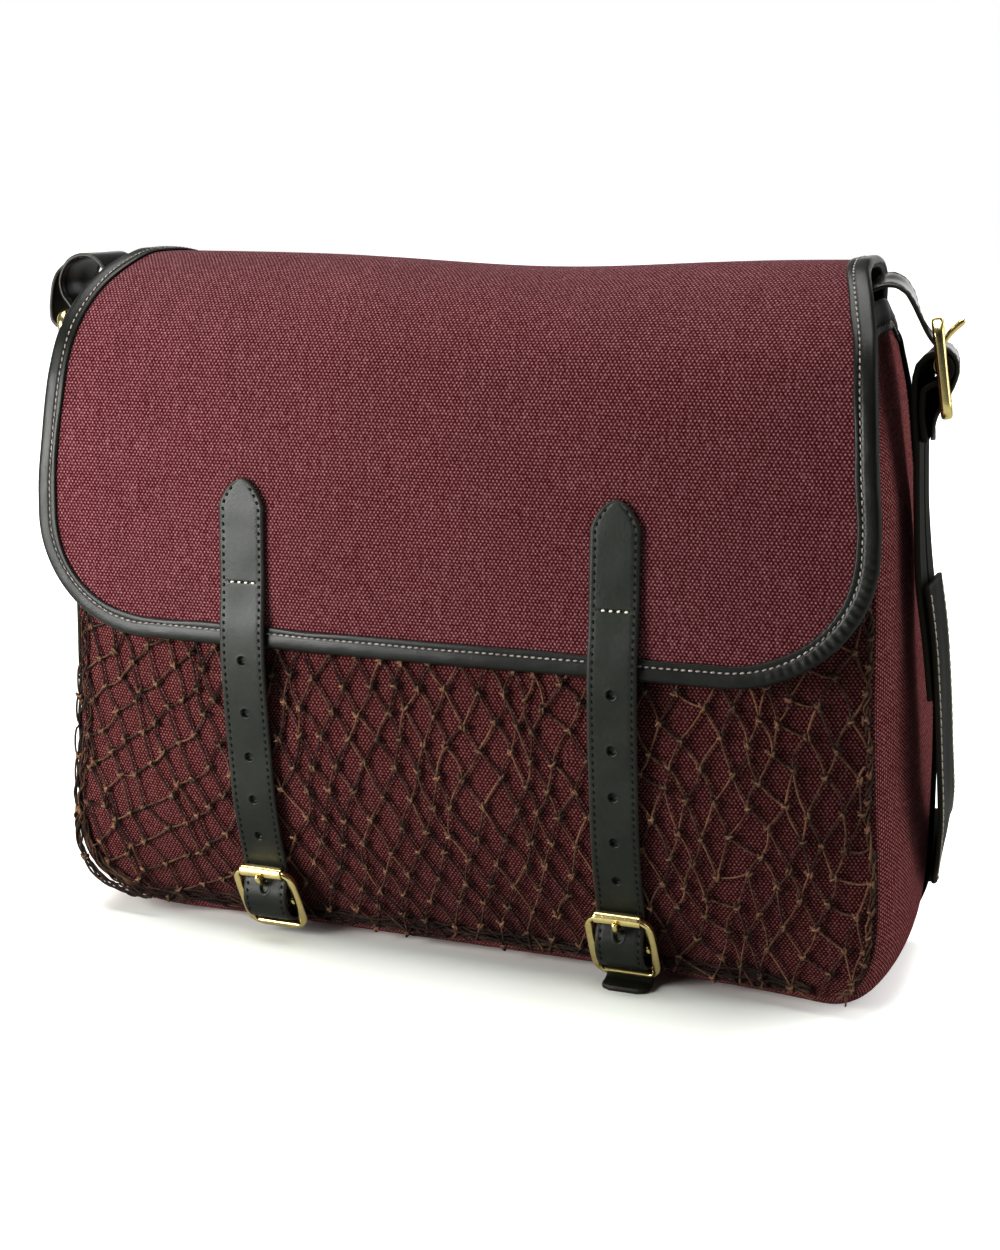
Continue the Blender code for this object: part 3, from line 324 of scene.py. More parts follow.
@dataclass(frozen=True)
class Brass:
    """Cast and polished brass with faint tumbling marks."""

    name: str
    colour: Triple = (0.86, 0.72, 0.35)
    dull: Triple = (0.74, 0.60, 0.25)

    def material(self) -> Material:
        """Build the material: a cloudy polish, with pits too fine to count."""
        m = Recipe(self.name)
        here = m.space()
        cloud = m.noise(here, 160.0, 3.0, 0.6)
        pits = m.noise(here, 1800.0, 2.0, 0.7)
        colour = m.mix(cloud.step(0.45, 0.8), self.colour, self.dull)
        rough = 0.17 + cloud * 0.12 + (pits - 0.5) * 0.06
        relief = m.bump(cloud * 0.7 + pits * 0.3, 0.10, 0.5)
        return m.finish({"Metallic": 1.0}, Base_Color=colour, Roughness=rough, Normal=relief)


@dataclass(frozen=True)
class Twine:
    """Laid cord or sewing thread: strands that wind round its length, browner where they rub."""

    name: str
    dark: Triple = (0.018, 0.0085, 0.0050)
    light: Triple = (0.310, 0.160, 0.092)
    lay: float = 1.5
    spread: float = 60.0
    share: float = 0.5

    def material(self) -> Material:
        """Build the material: stripes of cos(2 pi (length / lay + turns)) over a mottled colour."""
        m = Recipe(self.name)
        u, v = m.fabric()
        strand = ((u * (1 / self.lay) + v) * (2 * math.pi)).cos() * 0.5 + 0.5
        rub = m.noise(m.space(), self.spread, 3.0, 0.6)
        fine = m.noise(m.space(), 900.0, 2.0, 0.6)
        # The edge attribute is each cord's share of the lighter colour: real wear and tone on strands, and on knots
        # painted shade on the lowest lobe and a painted glint on the top turn.
        worn = m.attribute("edge") * 0.40 + (self.share - 0.5)
        amount = (rub + (strand - 0.5) * 0.22 + (fine - 0.5) * 0.45 + worn).step(0.25, 0.95)
        colour = m.mix(amount, self.dark, self.light)
        relief = m.bump(strand, 0.25, 0.6)
        return m.finish({"Specular IOR Level": 0.35}, Base_Color=colour, Roughness=0.52 + fine * 0.25, Normal=relief)


@dataclass(frozen=True)
class Paper:
    """The plain pale floor, glowing a little as a light table does; the glow is painted light: camera rays see it
    whiten the far floor and a painted pool of light right of the bag that hides the bag's shadow, and other rays get a
    glow brighter on the left that lights the left strap's sheen.
    """

    name: str = "pale_floor"
    shade: float = 0.44
    glow: float = 0.04

    def material(self) -> Material:
        """Build the material."""
        m = Recipe(self.name)
        cloud = m.noise(m.space(), 3.0, 2.0)
        x, y, _ = m.parts(m.space())
        far = (x * x + y * y).step(0.20, 1.2)
        seen = m.seen()
        tone = self.shade + cloud * 0.02 + seen * 0.42
        # Painted light: a painted pool of light right of the bag hides its shadow from the camera, and a glow brighter
        # on the left is a painted source for the left strap's sheen.
        glow = (self.glow + (0.0 - x).step(0.2, 0.9) * 0.35) * (1.0 - seen) + (far + x.step(0.14, 0.28) * 1.1) * seen
        plain = {"Specular IOR Level": 0.2, "Emission Strength": 1.0}
        return m.finish(plain, Base_Color=m.join(tone * 0.97, tone, tone * 0.95), Roughness=0.7 + cloud * 0.1,
                        Emission_Color=m.join(glow, glow, glow))


# Curves


def unit(vectors: Array) -> Array:
    """Give the vectors at length one."""
    return vectors / np.maximum(np.linalg.norm(vectors, axis=-1, keepdims=True), 1e-9)


def distances(points: Array) -> Array:
    """Give the distance along a line of points, or along each of many lines."""
    steps = np.linalg.norm(np.diff(points, axis=-2), axis=-1)
    return np.concatenate([np.zeros((*steps.shape[:-1], 1)), np.cumsum(steps, axis=-1)], axis=-1)


def resample(line: Array, values: Array, where: Array) -> Array:
    """Interpolate each column of an array of values given along a line."""
    return np.column_stack([np.interp(where, line, values[:, k]) for k in range(values.shape[1])])


def bell(x: Any, centre: Any, width: float) -> Array:
    """Give e to the minus ((x - centre) / width) squared."""
    return np.exp(-(((x - centre) / width) ** 2))


def spokes(along: Array, axis: Any, sides: int) -> Array:
    """Give the directions round a line, square to it; the first is square to the axis too."""
    first = unit(np.cross(along, axis))
    turns = np.linspace(0, 2 * math.pi, sides, endpoint=False)[:, None]
    return np.cos(turns) * first[..., None, :] + np.sin(turns) * np.cross(along, first)[..., None, :]


def fan(left: Array, right: Array, u: Array) -> Array:
    """Spread the shares u, from -1 to 1, over rows that reach left and right of the middle."""
    return (right - left)[:, None] / 2 + (left + right)[:, None] / 2 * u[None]


def joined(left: Array, right: Array, level: float, count: int) -> Array:
    """Join a left side, mirrored, to a right side by a straight run of count points at one level."""
    middle = np.linspace(-left[-1, 0], right[-1, 0], count)[1:-1]
    return np.concatenate([left * (-1, 1), np.column_stack([middle, np.full(len(middle), level)]), right[::-1]])


def graph(rows: Rows, column: int = 1) -> Callable[[Any], Array]:
    """Make a smooth function of a table's first column that never overshoots its rows.

    Args:
        rows: the table.
        column: the column whose value is wanted.

    Returns:
        The function: cubic pieces whose slope at a row is the harmonic mean of those beside it.
    """
    data = sorted((row[0], row[column]) for row in rows)
    xs, ys = (np.array(values, float) for values in zip(*data))
    slopes = np.diff(ys) / np.diff(xs)
    tangents = np.concatenate([slopes[:1], np.zeros(len(xs) - 2), slopes[-1:]])
    same = slopes[:-1] * slopes[1:] > 0
    inner = np.zeros(len(xs) - 2)
    inner[same] = 2 * slopes[:-1][same] * slopes[1:][same] / (slopes[:-1] + slopes[1:])[same]
    tangents[1:-1] = inner

    def value(x: Any) -> Array:
        """Evaluate the curve."""
        x = np.clip(np.asarray(x, float), xs[0], xs[-1])
        i = np.clip(np.searchsorted(xs, x, side="right") - 1, 0, len(xs) - 2)
        step = xs[i + 1] - xs[i]
        t = (x - xs[i]) / step
        return ((1 + 2 * t) * (1 - t) ** 2 * ys[i] + t * (1 - t) ** 2 * step * tangents[i]
                + t * t * (3 - 2 * t) * ys[i + 1] + t * t * (t - 1) * step * tangents[i + 1])

    return value


@dataclass
class Path:
    """A smooth curve through points in space, measured along its length."""

    points: Array

    def __post_init__(self) -> None:
        """Work out the distance and direction at each point."""
        self.points = np.asarray(self.points, float)
        self.stations = distances(self.points)
        self.tangents = np.gradient(self.points, self.stations, axis=0)
        self.length = float(self.stations[-1])

    def at(self, s: Any) -> Array:
        """Give the points at these distances: Hermite pieces between the rows."""
        s = np.clip(np.atleast_1d(np.asarray(s, float)), 0.0, self.length)
        i = np.clip(np.searchsorted(self.stations, s, side="right") - 1, 0, len(self.stations) - 2)
        step = (self.stations[i + 1] - self.stations[i])[:, None]
        t = (s[:, None] - self.stations[i][:, None]) / step
        p, d = self.points, self.tangents
        return ((1 + 2 * t) * (1 - t) ** 2 * p[i] + t * (1 - t) ** 2 * step * d[i]
                + t * t * (3 - 2 * t) * p[i + 1] + t * t * (t - 1) * step * d[i + 1])

    def along(self, s: Any) -> Array:
        """Give the directions at these distances, averaged over 1.2 mm either way."""
        s = np.atleast_1d(np.asarray(s, float))
        return unit(self.at(s + 1.2) - self.at(s - 1.2))

    def nearest(self, point: Sequence[float]) -> float:
        """Give the distance at which the curve passes nearest to a point."""
        s = np.linspace(0, self.length, 2400)
        return float(s[np.argmin(np.linalg.norm(self.at(s) - np.array(point, float), axis=1))])


def ripple(a: Array, b: Array, seed: int, waves: int = 7) -> Array:
    """Give a gentle uneven relief from about -1 to 1.

    Args:
        a: first coordinate, in wavelengths.
        b: second coordinate, in wavelengths.
        seed: which relief.
        waves: how many sine waves of random direction, length and phase are summed.
    """
    rng = np.random.default_rng(seed)
    total = np.zeros(np.broadcast(a, b).shape)
    for turn, scale, phase in zip(rng.uniform(0, math.pi, waves), rng.uniform(0.6, 1.7, waves),
                                  rng.uniform(0, 2 * math.pi, waves)):
        total += np.sin(2 * math.pi * scale * (a * math.cos(turn) + b * math.sin(turn)) + phase)
    return total / math.sqrt(waves)


# Meshes


def corner_uv(u: Sequence[Array], v: Sequence[Array]) -> Array:
    """Give the surface coordinates of the four corners of quads between two values of u and two of v."""
    return np.stack([np.stack([u[a], v[b]], -1) for a, b in ((0, 0), (0, 1), (1, 1), (1, 0))], -2)


def add(name: str, data: bpy.types.ID) -> bpy.types.Object:
    """Put a new object with this data into the scene."""
    piece = bpy.data.objects.new(name, data)
    bpy.context.scene.collection.objects.link(piece)
    return piece


@dataclass
class Shape:
    """Points and faces of one piece while it is put together, with its surface coordinates."""

    points: list[Array] = field(default_factory=list)
    quads: list[Array] = field(default_factory=list)
    quad_uv: list[Array] = field(default_factory=list)
    caps: list[list[int]] = field(default_factory=list)
    cap_uv: list[Array] = field(default_factory=list)
    edges: list[Array] = field(default_factory=list)
    count: int = 0

    def put(self, points: Array, edge: Array | float = 0.0) -> int:
        """Add points with their share of worn edge, or on cords their share of the lighter colour, and give the number
        of the first.
        """
        flat = points.reshape(-1, 3)
        self.points.append(flat)
        self.edges.append(np.broadcast_to(np.asarray(edge, float).reshape(-1) if np.ndim(edge) else edge, len(flat)))
        first, self.count = self.count, self.count + len(flat)
        return first

    def face(self, corners: Array, uv: Array) -> None:
        """Add quads by the numbers of their corners, with a surface coordinate at each corner."""
        self.quads.append(corners.reshape(-1, 4))
        self.quad_uv.append(uv.reshape(-1, 4, 2))

    def tube(self, sections: Array, u: Array, v: Array, edge: Array | float = 0.0, ring: bool = False) -> "Shape":
        """Add a skin through closed sections.

        Args:
            sections: points by station and place round the section.
            u: surface coordinate at each station, one more of them for a ring.
            v: surface coordinate round the section, one more of them than places.
            edge: share of worn edge, by station and place.
            ring: whether the last section joins the first; otherwise both ends get a flat cap.

        Returns:
            The shape itself.
        """
        rows, cols = sections.shape[:2]
        first = self.put(sections, edge)
        i, j = np.meshgrid(np.arange(rows if ring else rows - 1), np.arange(cols), indexing="ij")
        k, n = (i + 1) % rows, (j + 1) % cols
        corners = first + np.stack([i * cols + j, i * cols + n, k * cols + n, k * cols + j], -1)
        self.face(corners, corner_uv((u[i], u[i + 1]), (v[j], v[j + 1])))
        if not ring:
            for row, turn in ((0, -1), (rows - 1, 1)):
                self.caps.append([first + row * cols + c for c in range(cols)][::turn])
                self.cap_uv.append(np.column_stack([np.full(cols, u[row]), v[:cols]])[::turn])
        return self

    def wall(self, outer: Array, inner: Array, uv: Array, keep: Array | None = None, edge: Array | float = 0.0,
             back: Array | float = 0.0) -> "Shape":
        """Add a thin wall between two matching grids, closed along its rim and round its openings.

        Args:
            outer: grid of points on the outer face.
            inner: grid of points on the inner face.
            uv: grid of surface coordinates.
            keep: which cells of the grid are there.
            edge: share of worn edge on the outer grid.
            back: the same on the inner grid.

        Returns:
            The shape itself.
        """
        rows, cols = outer.shape[:2]
        keep = np.ones((rows - 1, cols - 1), bool) if keep is None else keep
        first = self.put(outer, edge)
        offset = self.put(inner, back) - first
        number = first + np.arange(rows * cols).reshape(rows, cols)
        grid = (number[:-1, :-1], number[:-1, 1:], number[1:, 1:], number[1:, :-1])
        at = (uv[:-1, :-1], uv[:-1, 1:], uv[1:, 1:], uv[1:, :-1])
        corners, places = np.stack(grid, -1)[keep], np.stack(at, -2)[keep]
        self.face(corners, places)
        self.face(corners[:, ::-1] + offset, places[:, ::-1])
        padded = np.pad(keep, 1)
        beside = (padded[:-2, 1:-1], padded[1:-1, 2:], padded[2:, 1:-1], padded[1:-1, :-2])
        for k, other in enumerate(beside):
            rim = keep & ~other
            a, b = grid[k][rim], grid[(k + 1) % 4][rim]
            p, q = at[k][rim], at[(k + 1) % 4][rim]
            self.face(np.stack([b, a, a + offset, b + offset], -1), np.stack([q, p, p, q], -2))
        return self

    def beads(self, centres: Array, along: Array, up: Array, length: Array | float, radius: float,
              squash: float = 1.0, shade: float = 0.0, sides: int = 6) -> None:
        """Add many short rounded stitches or lumps.

        Args:
            centres: their middles.
            along: their directions.
            up: the surface's normals there.
            length: their length.
            radius: their half thickness.
            squash: how flat they lie, 1 for round.
            shade: their share of the lighter colour.
            sides: how many faces run round each.
        """
        share = np.array([-0.5, -0.40, -0.15, 0.15, 0.40, 0.5])
        girth = np.array([0.30, 0.82, 1.0, 1.0, 0.82, 0.30])
        turns = np.linspace(0, 2 * math.pi, sides, endpoint=False)
        cross = unit(np.cross(along, up))
        lift = np.cross(cross, along)
        span = np.broadcast_to(length, len(centres))[:, None, None, None] * share[None, :, None, None]
        round_about = (np.cos(turns)[None, None, :, None] * cross[:, None, None]
                       + squash * np.sin(turns)[None, None, :, None] * lift[:, None, None])
        points = (centres[:, None, None] + span * along[:, None, None]
                  + radius * girth[None, :, None, None] * round_about)
        self.cords(points, np.broadcast_to(share * 3.0, (len(centres), 6)), np.full(len(centres), shade))

    def cords(self, points: Array, lengths: Array, shade: Array) -> None:
        """Add many separate tubes at once.

        Args:
            points: by tube, station and place round it.
            lengths: distance along each tube at each station.
            shade: each tube's share of the lighter colour.
        """
        tubes, rows, cols = points.shape[:3]
        first = self.put(points, np.repeat(shade, rows * cols))
        t, i, j = np.meshgrid(np.arange(tubes), np.arange(rows - 1), np.arange(cols), indexing="ij")
        n = (j + 1) % cols
        base = first + (t * rows + i) * cols
        corners = np.stack([base + j, base + n, base + cols + n, base + cols + j], -1)
        turns = (j / cols / UV_UNIT, (j + 1) / cols / UV_UNIT)
        self.face(corners, corner_uv((lengths[t, i], lengths[t, i + 1]), turns))
        starts = first + np.arange(tubes) * rows * cols
        for at, turn in ((0, -1), ((rows - 1) * cols, 1)):
            rings = (starts[:, None] + at + np.arange(cols)[None])[:, ::turn]
            self.caps += rings.tolist()
            self.cap_uv += [np.zeros((cols, 2))] * tubes

    def stand(self, node: str, material: Material, slot: Slot = Slot.LEATHER) -> bpy.types.Object:
        """Make the piece that stands for one solid of the frame, named after it and its slot."""
        return self.make(f"{node}_{slot.value}", material, slot, [node])

    def make(self, name: str, material: Material, slot: Slot, nodes: Sequence[str] = ()) -> bpy.types.Object:
        """Turn the collected faces into a finished piece of the bag.

        Args:
            name: the piece's name.
            material: its finish.
            slot: the record's material slot; not used.
            nodes: the frame's solids that it stands for.

        Returns:
            The object, with its faces pointing out of its volume.
        """
        points = np.concatenate(self.points) * MM
        quads, uv = np.concatenate(self.quads), np.concatenate(self.quad_uv)
        p = points[quads]
        volume = (np.einsum("ij,ij->", p[:, 0], np.cross(p[:, 1], p[:, 2]))
                  + np.einsum("ij,ij->", p[:, 0], np.cross(p[:, 2], p[:, 3])))
        caps, cap_uv = self.caps, self.cap_uv
        if volume < 0:
            quads, uv = quads[:, ::-1], uv[:, ::-1]
            caps, cap_uv = [c[::-1] for c in caps], [c[::-1] for c in cap_uv]
        faces = quads.tolist() + caps
        used = np.zeros(len(points), bool)
        used[quads.ravel()] = True
        edge = np.concatenate(self.edges)
        if not used.all() and not caps:
            renumber = np.cumsum(used) - 1
            points, edge, faces = points[used], edge[used], renumber[quads].tolist()
        mesh = bpy.data.meshes.new(name)
        mesh.from_pydata(points, [], faces)
        mesh.uv_layers.new(name="surface")
        corners = np.concatenate([uv.reshape(-1, 2), *cap_uv]) * UV_UNIT
        mesh.uv_layers["surface"].data.foreach_set("uv", corners.astype(np.float32).ravel())
        mesh.attributes.new("edge", "FLOAT", "POINT").data.foreach_set("value", edge.astype(np.float32))
        mesh.shade_smooth()
        mesh.materials.append(material)
        piece = add(name, mesh)
        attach(piece, "root")
        if nodes:
            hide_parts(*nodes)
        log.info("%s: %d faces", name, len(faces))
        return piece


def stitch_row(shape: Shape, line: Array, up: Array, pitch: float, length: float = 2.1, radius: float = 0.42,
               sink: float = 0.12) -> None:
    """Sew a row of stitches along a line.

    Args:
        shape: where the stitches go.
        line: dense points along the row.
        up: the surface's normals there.
        pitch: distance from stitch to stitch.
        length: length of one stitch.
        radius: half the thread's thickness.
        sink: how far the stitch lies in the leather.
    """
    s = distances(line)
    count = max(1, int(s[-1] / pitch))
    places = (np.arange(count) + 0.5) * s[-1] / count
    centres, normals = resample(s, line, places), unit(resample(s, up, places))
    along = unit(resample(s, line, places + 0.6) - resample(s, line, places - 0.6))
    slant = unit(along + 0.10 * np.cross(normals, along))
    shape.beads(centres + normals * (radius * 0.55 - sink), slant, normals, length, radius, 0.72)


# Leather straps


@dataclass
class Band:
    """A strap of leather: a flat section with rounded edges carried along a path.

    Place on the face at distance s along and q across is path(s) + q width + (relief - depth) out,
    where out is square to the path and the width.
    """

    path: Path
    width_at: Callable[[Array], Array]
    half: Callable[[Array], Array]
    thickness: float
    centred: bool = False
    relief: Callable[[Array, Array], Array] | None = None
    across: int = 15
    fine: float = 1.0
    edge_share: float = 0.85
    floor: float | None = None

    def frame(self, s: Array) -> tuple[Array, Array, Array]:
        """Give place, width direction and outward direction at distances along."""
        here, along = self.path.at(s), self.path.along(s)
        width = self.width_at(s)
        width = unit(width - along * np.sum(width * along, axis=1, keepdims=True))
        return here, width, unit(np.cross(along, width))

    def face_point(self, s: Array, q: Array, height: float = 0.0) -> tuple[Array, Array]:
        """Give points on the outer face and the normals there."""
        here, width, out = self.frame(s)
        lift = (self.thickness / 2 if self.centred else 0.0) + height
        if self.relief is not None:
            lift = lift + self.relief(s, q)
        return here + q[:, None] * width + np.reshape(lift, (-1, 1)) * out, out

    def skin(self, s: Array) -> Shape:
        """Make the strap's whole surface through these stations along it."""
        t, r = self.thickness, self.thickness * 0.42
        inner = np.linspace(-1, 1, self.across)
        inner = np.sign(inner) * np.abs(inner) ** self.fine
        bend = np.radians(np.linspace(90, -90, 7)[1:-1])
        zero, ones = np.zeros(len(bend)), np.ones(len(bend))
        share = np.concatenate([inner, ones, inner[::-1][::2], -ones])
        swell = np.concatenate([np.zeros(len(inner)), np.cos(bend), np.zeros(len(inner[::2])), -np.cos(bend)])
        depth = np.concatenate([np.zeros(len(inner)), t / 2 * (1 - np.sin(bend)), np.full(len(inner[::2]), t),
                                t / 2 * (1 + np.sin(bend))])
        on_edge = np.concatenate([np.zeros(len(inner)), ones, np.zeros(len(inner[::2])), ones]) * self.edge_share
        near = np.concatenate([np.abs(inner) > 0.999, zero, np.abs(inner[::2]) > 0.999, zero]) * 0.3
        here, width, out = self.frame(s)
        half = self.half(s)
        round_off = np.minimum(r, half * 0.8)
        q = (half - round_off)[:, None] * share[None] + round_off[:, None] * swell[None]
        lift = np.tile(-depth[None], (len(s), 1)) + (t / 2 if self.centred else 0.0)
        if self.relief is not None:
            top = depth < t * 0.3
            bump = self.relief(np.repeat(s[:, None], int(top.sum()), 1).ravel(), q[:, top].ravel())
            lift[:, top] += bump.reshape(len(s), -1) * (1 - depth[top] / (t * 0.3))[None]
        points = here[:, None] + q[..., None] * width[:, None] + lift[..., None] * out[:, None]
        if self.floor is not None:
            points[..., 2] += np.maximum(self.floor - points[..., 2].min(axis=1), 0.0)[:, None]
        around = distances(points[len(s) // 2])
        around = np.append(around, around[-1] + 1.0)
        edge = np.tile((on_edge + near)[None], (len(s), 1))
        edge[0] = edge[-1] = self.edge_share
        return Shape().tube(points, s, around, edge)

    def row(self, shape: Shape, s: Array, q: Array, pitch: float, **look: float) -> None:
        """Sew a row of stitches on the outer face along points (s, q)."""
        line, up = self.face_point(s, q)
        stitch_row(shape, line, up, pitch, **look)


def steady(direction: Sequence[float]) -> Callable[[Array], Array]:
    """Make a width line that keeps one direction."""
    return lambda s: np.tile(np.array(direction, float), (len(s), 1))


def dimple(s: Array, q: Array, centre: float, radius: float, depth: float, stretch: float = 1.0) -> Array:
    """Give the relief of a punched hole: depth within the radius, with a small turned-in lip."""
    r = np.hypot((s - centre) / stretch, q) / radius
    wall = np.clip((1.12 - r) / 0.30, 0, 1)
    lip = 0.10 * bell(r, 1.35, 0.22)
    return -depth * wall * wall * (3 - 2 * wall) + lip


def groove(q: Array, line: Array | float, depth: float = 0.22, half: float = 0.75) -> Array:
    """Give the relief of the channel that a row of stitches lies in."""
    return -depth * bell(np.abs(q), line, half)


# Sizes shared by the pieces

CANVAS = 1.6
LEATHER = 2.6
STRAP_LEATHER = 2.2
BILLET_LEATHER = 2.0
CHAPE_LEATHER = 2.8
THIN_LEATHER = 1.3
GAP = 0.35
CHANNEL_GIRTH = 60.0
SEAM_FRONT_Z = 9.0
SEAM_BACK_Z = 7.0
FLAP_STRAP_X = {Side.LEFT: -95.5, Side.RIGHT: 93.0}
FLAP_STRAP_WIDTH = 24.0
SHOULDER_WIDTH = 38.0
SHOULDER_X = 223.0
SHOULDER_Y = -20.0
CORNERS = {Side.LEFT: (58.0, 41.0, 50.0, 44.0), Side.RIGHT: (30.0, 41.0, 34.0, 44.0)}

# z, front_half, front_y, back_half, back_y
SEAMS = [
    (326.0, 189.0, -60.0, 187.5, 37.0), (306.0, 193.5, -60.0, 193.5, 38.0), (280.0, 198.5, -61.5, 199.3, 39.0),
    (250.0, 202.5, -62.5, 202.8, 40.0), (215.0, 205.0, -63.0, 207.5, 41.0), (180.0, 206.5, -63.0, 212.3, 42.0),
    (150.0, 207.0, -62.5, 216.0, 43.0), (120.0, 208.5, -62.0, 218.0, 43.5), (95.0, 210.0, -62.0, 218.5, 44.0),
    (72.0, 212.0, -63.0, 218.5, 44.5), (50.0, 213.0, -63.5, 218.2, 45.0), (9.0, 213.0, -64.0, 217.0, 46.0),
]

# z, y of the front panel in line with the flap straps
FRONT_PROFILE = [
    (9.0, -51.0), (20.0, -57.4), (40.0, -67.6), (58.0, -75.0), (81.0, -80.6), (104.0, -83.4), (127.0, -84.2),
    (154.0, -83.4), (165.0, -82.8), (192.0, -82.6), (242.0, -82.2), (280.0, -77.6), (306.0, -69.4),
]

# Share from front to back, z of the gusset's top edge
GUSSET_TOP = [(0.0, 306.0), (0.16, 320.0), (0.36, 326.0), (0.72, 326.5), (1.0, 318.0)]

# y, z of the flap's outer face from its back edge to its front edge
FLAP_PROFILE = [
    (42.4, 311.0), (42.2, 327.0), (38.6, 337.0), (29.0, 343.0), (14.0, 346.2), (-3.0, 346.8), (-21.0, 346.0),
    (-38.0, 341.0), (-54.0, 331.5), (-66.0, 320.0), (-74.5, 308.0), (-80.6, 291.0), (-84.4, 272.0),
    (-87.0, 252.0), (-88.3, 232.0), (-88.9, 212.0), (-89.1, 192.0), (-89.3, 172.0), (-89.6, 160.0),
]

# Distance along the flap, half width
FLAP_WIDTHS = [
    (0.0, 186.0), (60.0, 189.5), (95.0, 191.5), (125.0, 198.0), (150.0, 203.5), (175.0, 206.5), (205.0, 209.0),
    (235.0, 211.5), (300.0, 211.0),
]
FLAP_CORNERS = {Side.LEFT: (60.0, 60.0), Side.RIGHT: (70.0, 64.0)}

# y, z of a flap strap's outer face, then up and out from its buckle's centre bar, then its tail
STRAP_PROFILE = [
    (-91.4, 243.0), (-92.2, 226.0), (-92.8, 205.0), (-93.6, 185.0), (-95.1, 170.0), (-95.3, 158.0),
    (-94.7, 146.0), (-93.1, 127.0), (-90.2, 104.0), (-87.2, 81.0), (-82.6, 62.0),
]
STRAP_IN_BUCKLE = [
    (28.0, -5.9), (19.2, -3.7), (15.0, -2.0), (11.0, 1.8), (7.0, 5.4), (3.0, 7.3), (-1.5, 7.6), (-6.0, 7.0),
    (-10.0, 5.2), (-13.2, 2.0), (-16.0, -1.2), (-19.2, -3.2),
]
STRAP_TAILS = {
    Side.LEFT: [(-57.9, 6.9), (-57.5, 5.2)],
    Side.RIGHT: [(-58.0, 5.8), (-59.8, 3.2), (-64.0, 2.7), (-70.0, 2.7)],
}
STRAP_HOLES_Z = (154.0, 127.0, 104.0, 81.0, 60.5)
CROSS_STITCH_Z = 192.7

# x and z as on the right side, and the lean and rise of the width line where it has them
BILLETS = {
    Side.RIGHT: [
        (189.0, 270.0, 0.00, 0.00), (188.0, 298.0, 0.00, 0.00), (186.4, 314.0, 0.00, 0.00),
        (186.4, 327.0, -0.04, 0.02), (188.2, 333.4, -0.09, 0.06), (192.6, 336.9, -0.12, 0.09),
        (198.4, 338.8, -0.13, 0.11), (203.4, 337.6, -0.11, 0.08), (207.2, 334.2, -0.10, 0.02),
        (210.4, 328.2, -0.14, -0.02), (213.4, 321.8, -0.17, -0.03), (217.4, 315.4, -0.16, 0.00),
        (221.2, 311.2, -0.146, 0.00), (226.2, 309.0, -0.146, 0.00), (229.4, 305.4, -0.146, 0.00),
        (230.4, 300.6, -0.146, 0.00), (228.4, 294.8, -0.20, 0.00), (224.0, 288.8, -0.31, 0.00),
        (220.9, 281.4, -0.24, 0.00), (221.1, 268.0, -0.13, 0.00),
    ],
    Side.LEFT: [
        (189.0, 270.0), (188.0, 298.0), (186.4, 314.0), (186.0, 324.0), (187.0, 329.4), (190.0, 332.8),
        (194.8, 334.6), (198.8, 337.4), (202.4, 341.6), (207.8, 344.8), (214.2, 345.0), (219.8, 342.6),
        (223.9, 337.6), (225.9, 330.8), (224.4, 324.6), (220.6, 319.6), (218.6, 315.0), (219.4, 311.2),
        (223.4, 308.9), (228.2, 308.8), (231.4, 311.4), (232.3, 316.4), (231.8, 322.6), (230.2, 330.4),
        (227.8, 336.8), (224.4, 342.2),
    ],
}
CHAPES = {
    Side.RIGHT: [
        (228.0, 150.0, 0.00, 0.00), (224.6, 176.0, 0.00, 0.00), (220.2, 204.0, 0.00, 0.00),
        (217.4, 235.0, -0.04, 0.00), (216.0, 265.0, -0.04, 0.00), (215.2, 286.0, 0.03, 0.00),
        (215.8, 298.0, 0.06, 0.00), (216.8, 304.2, 0.00, 0.00), (218.8, 306.8, -0.10, 0.00),
        (222.9, 306.8, -0.146, 0.00), (226.8, 304.4, -0.146, 0.00), (227.9, 300.8, -0.146, 0.00),
        (226.6, 297.4, -0.146, 0.00), (222.8, 295.2, -0.10, 0.00), (218.6, 292.0, -0.03, 0.00),
        (217.6, 285.0, -0.04, 0.00), (218.6, 268.0, -0.08, 0.00),
    ],
    Side.LEFT: [
        (219.2, 150.0), (217.6, 182.0), (214.2, 212.0), (210.6, 240.0), (208.2, 262.0), (207.9, 276.4),
        (209.0, 284.5), (212.0, 291.8), (214.4, 296.0), (216.8, 299.5), (220.4, 299.8), (223.0, 297.2),
        (222.9, 293.4), (219.8, 291.0), (214.4, 286.6), (211.1, 280.6), (210.9, 274.8), (211.3, 266.0),
    ],
}
CHAPE_SLOTS = {
    Side.RIGHT: ((219.8, 307.2), (220.4, 294.0)),
    Side.LEFT: ((212.6, 292.8), (216.4, 289.0)),
}

# x, y, z and width direction of the shoulder strap's right half, and x of the left half's first rows
STRAP_ROUTE = [
    (224.2, -20.0, 203.0, 0.00, 1.00, 0.00), (228.0, -20.0, 180.0, 0.00, 1.00, 0.02),
    (231.2, -20.0, 150.0, 0.00, 1.00, 0.02), (233.2, -19.0, 122.0, 0.00, 0.99, 0.10),
    (233.8, -11.0, 95.0, 0.00, 0.93, 0.36), (231.6, 4.0, 76.0, 0.03, 0.80, 0.60),
    (228.4, 22.0, 63.5, 0.05, 0.70, 0.70), (225.0, 40.0, 55.0, 0.00, 0.62, 0.78),
    (216.0, 58.5, 49.0, -0.34, 0.45, 0.80), (199.0, 70.0, 42.0, -0.62, 0.22, 0.75),
    (180.0, 81.0, 33.0, -0.66, 0.02, 0.75), (158.0, 94.0, 23.0, -0.67, -0.20, 0.71),
    (134.0, 108.0, 13.0, -0.65, -0.45, 0.60), (106.0, 122.0, 5.0, -0.50, -0.80, 0.25),
    (76.0, 132.0, 1.3, -0.35, -0.94, 0.00), (38.0, 139.0, 1.3, -0.15, -0.99, 0.00),
    (0.0, 141.0, 1.3, 0.00, -1.00, 0.00),
]
LEFT_STRAP_X = (221.5, 222.6, 223.4, 224.2, 225.4, 227.2, 228.8, 227.2, 218.4)

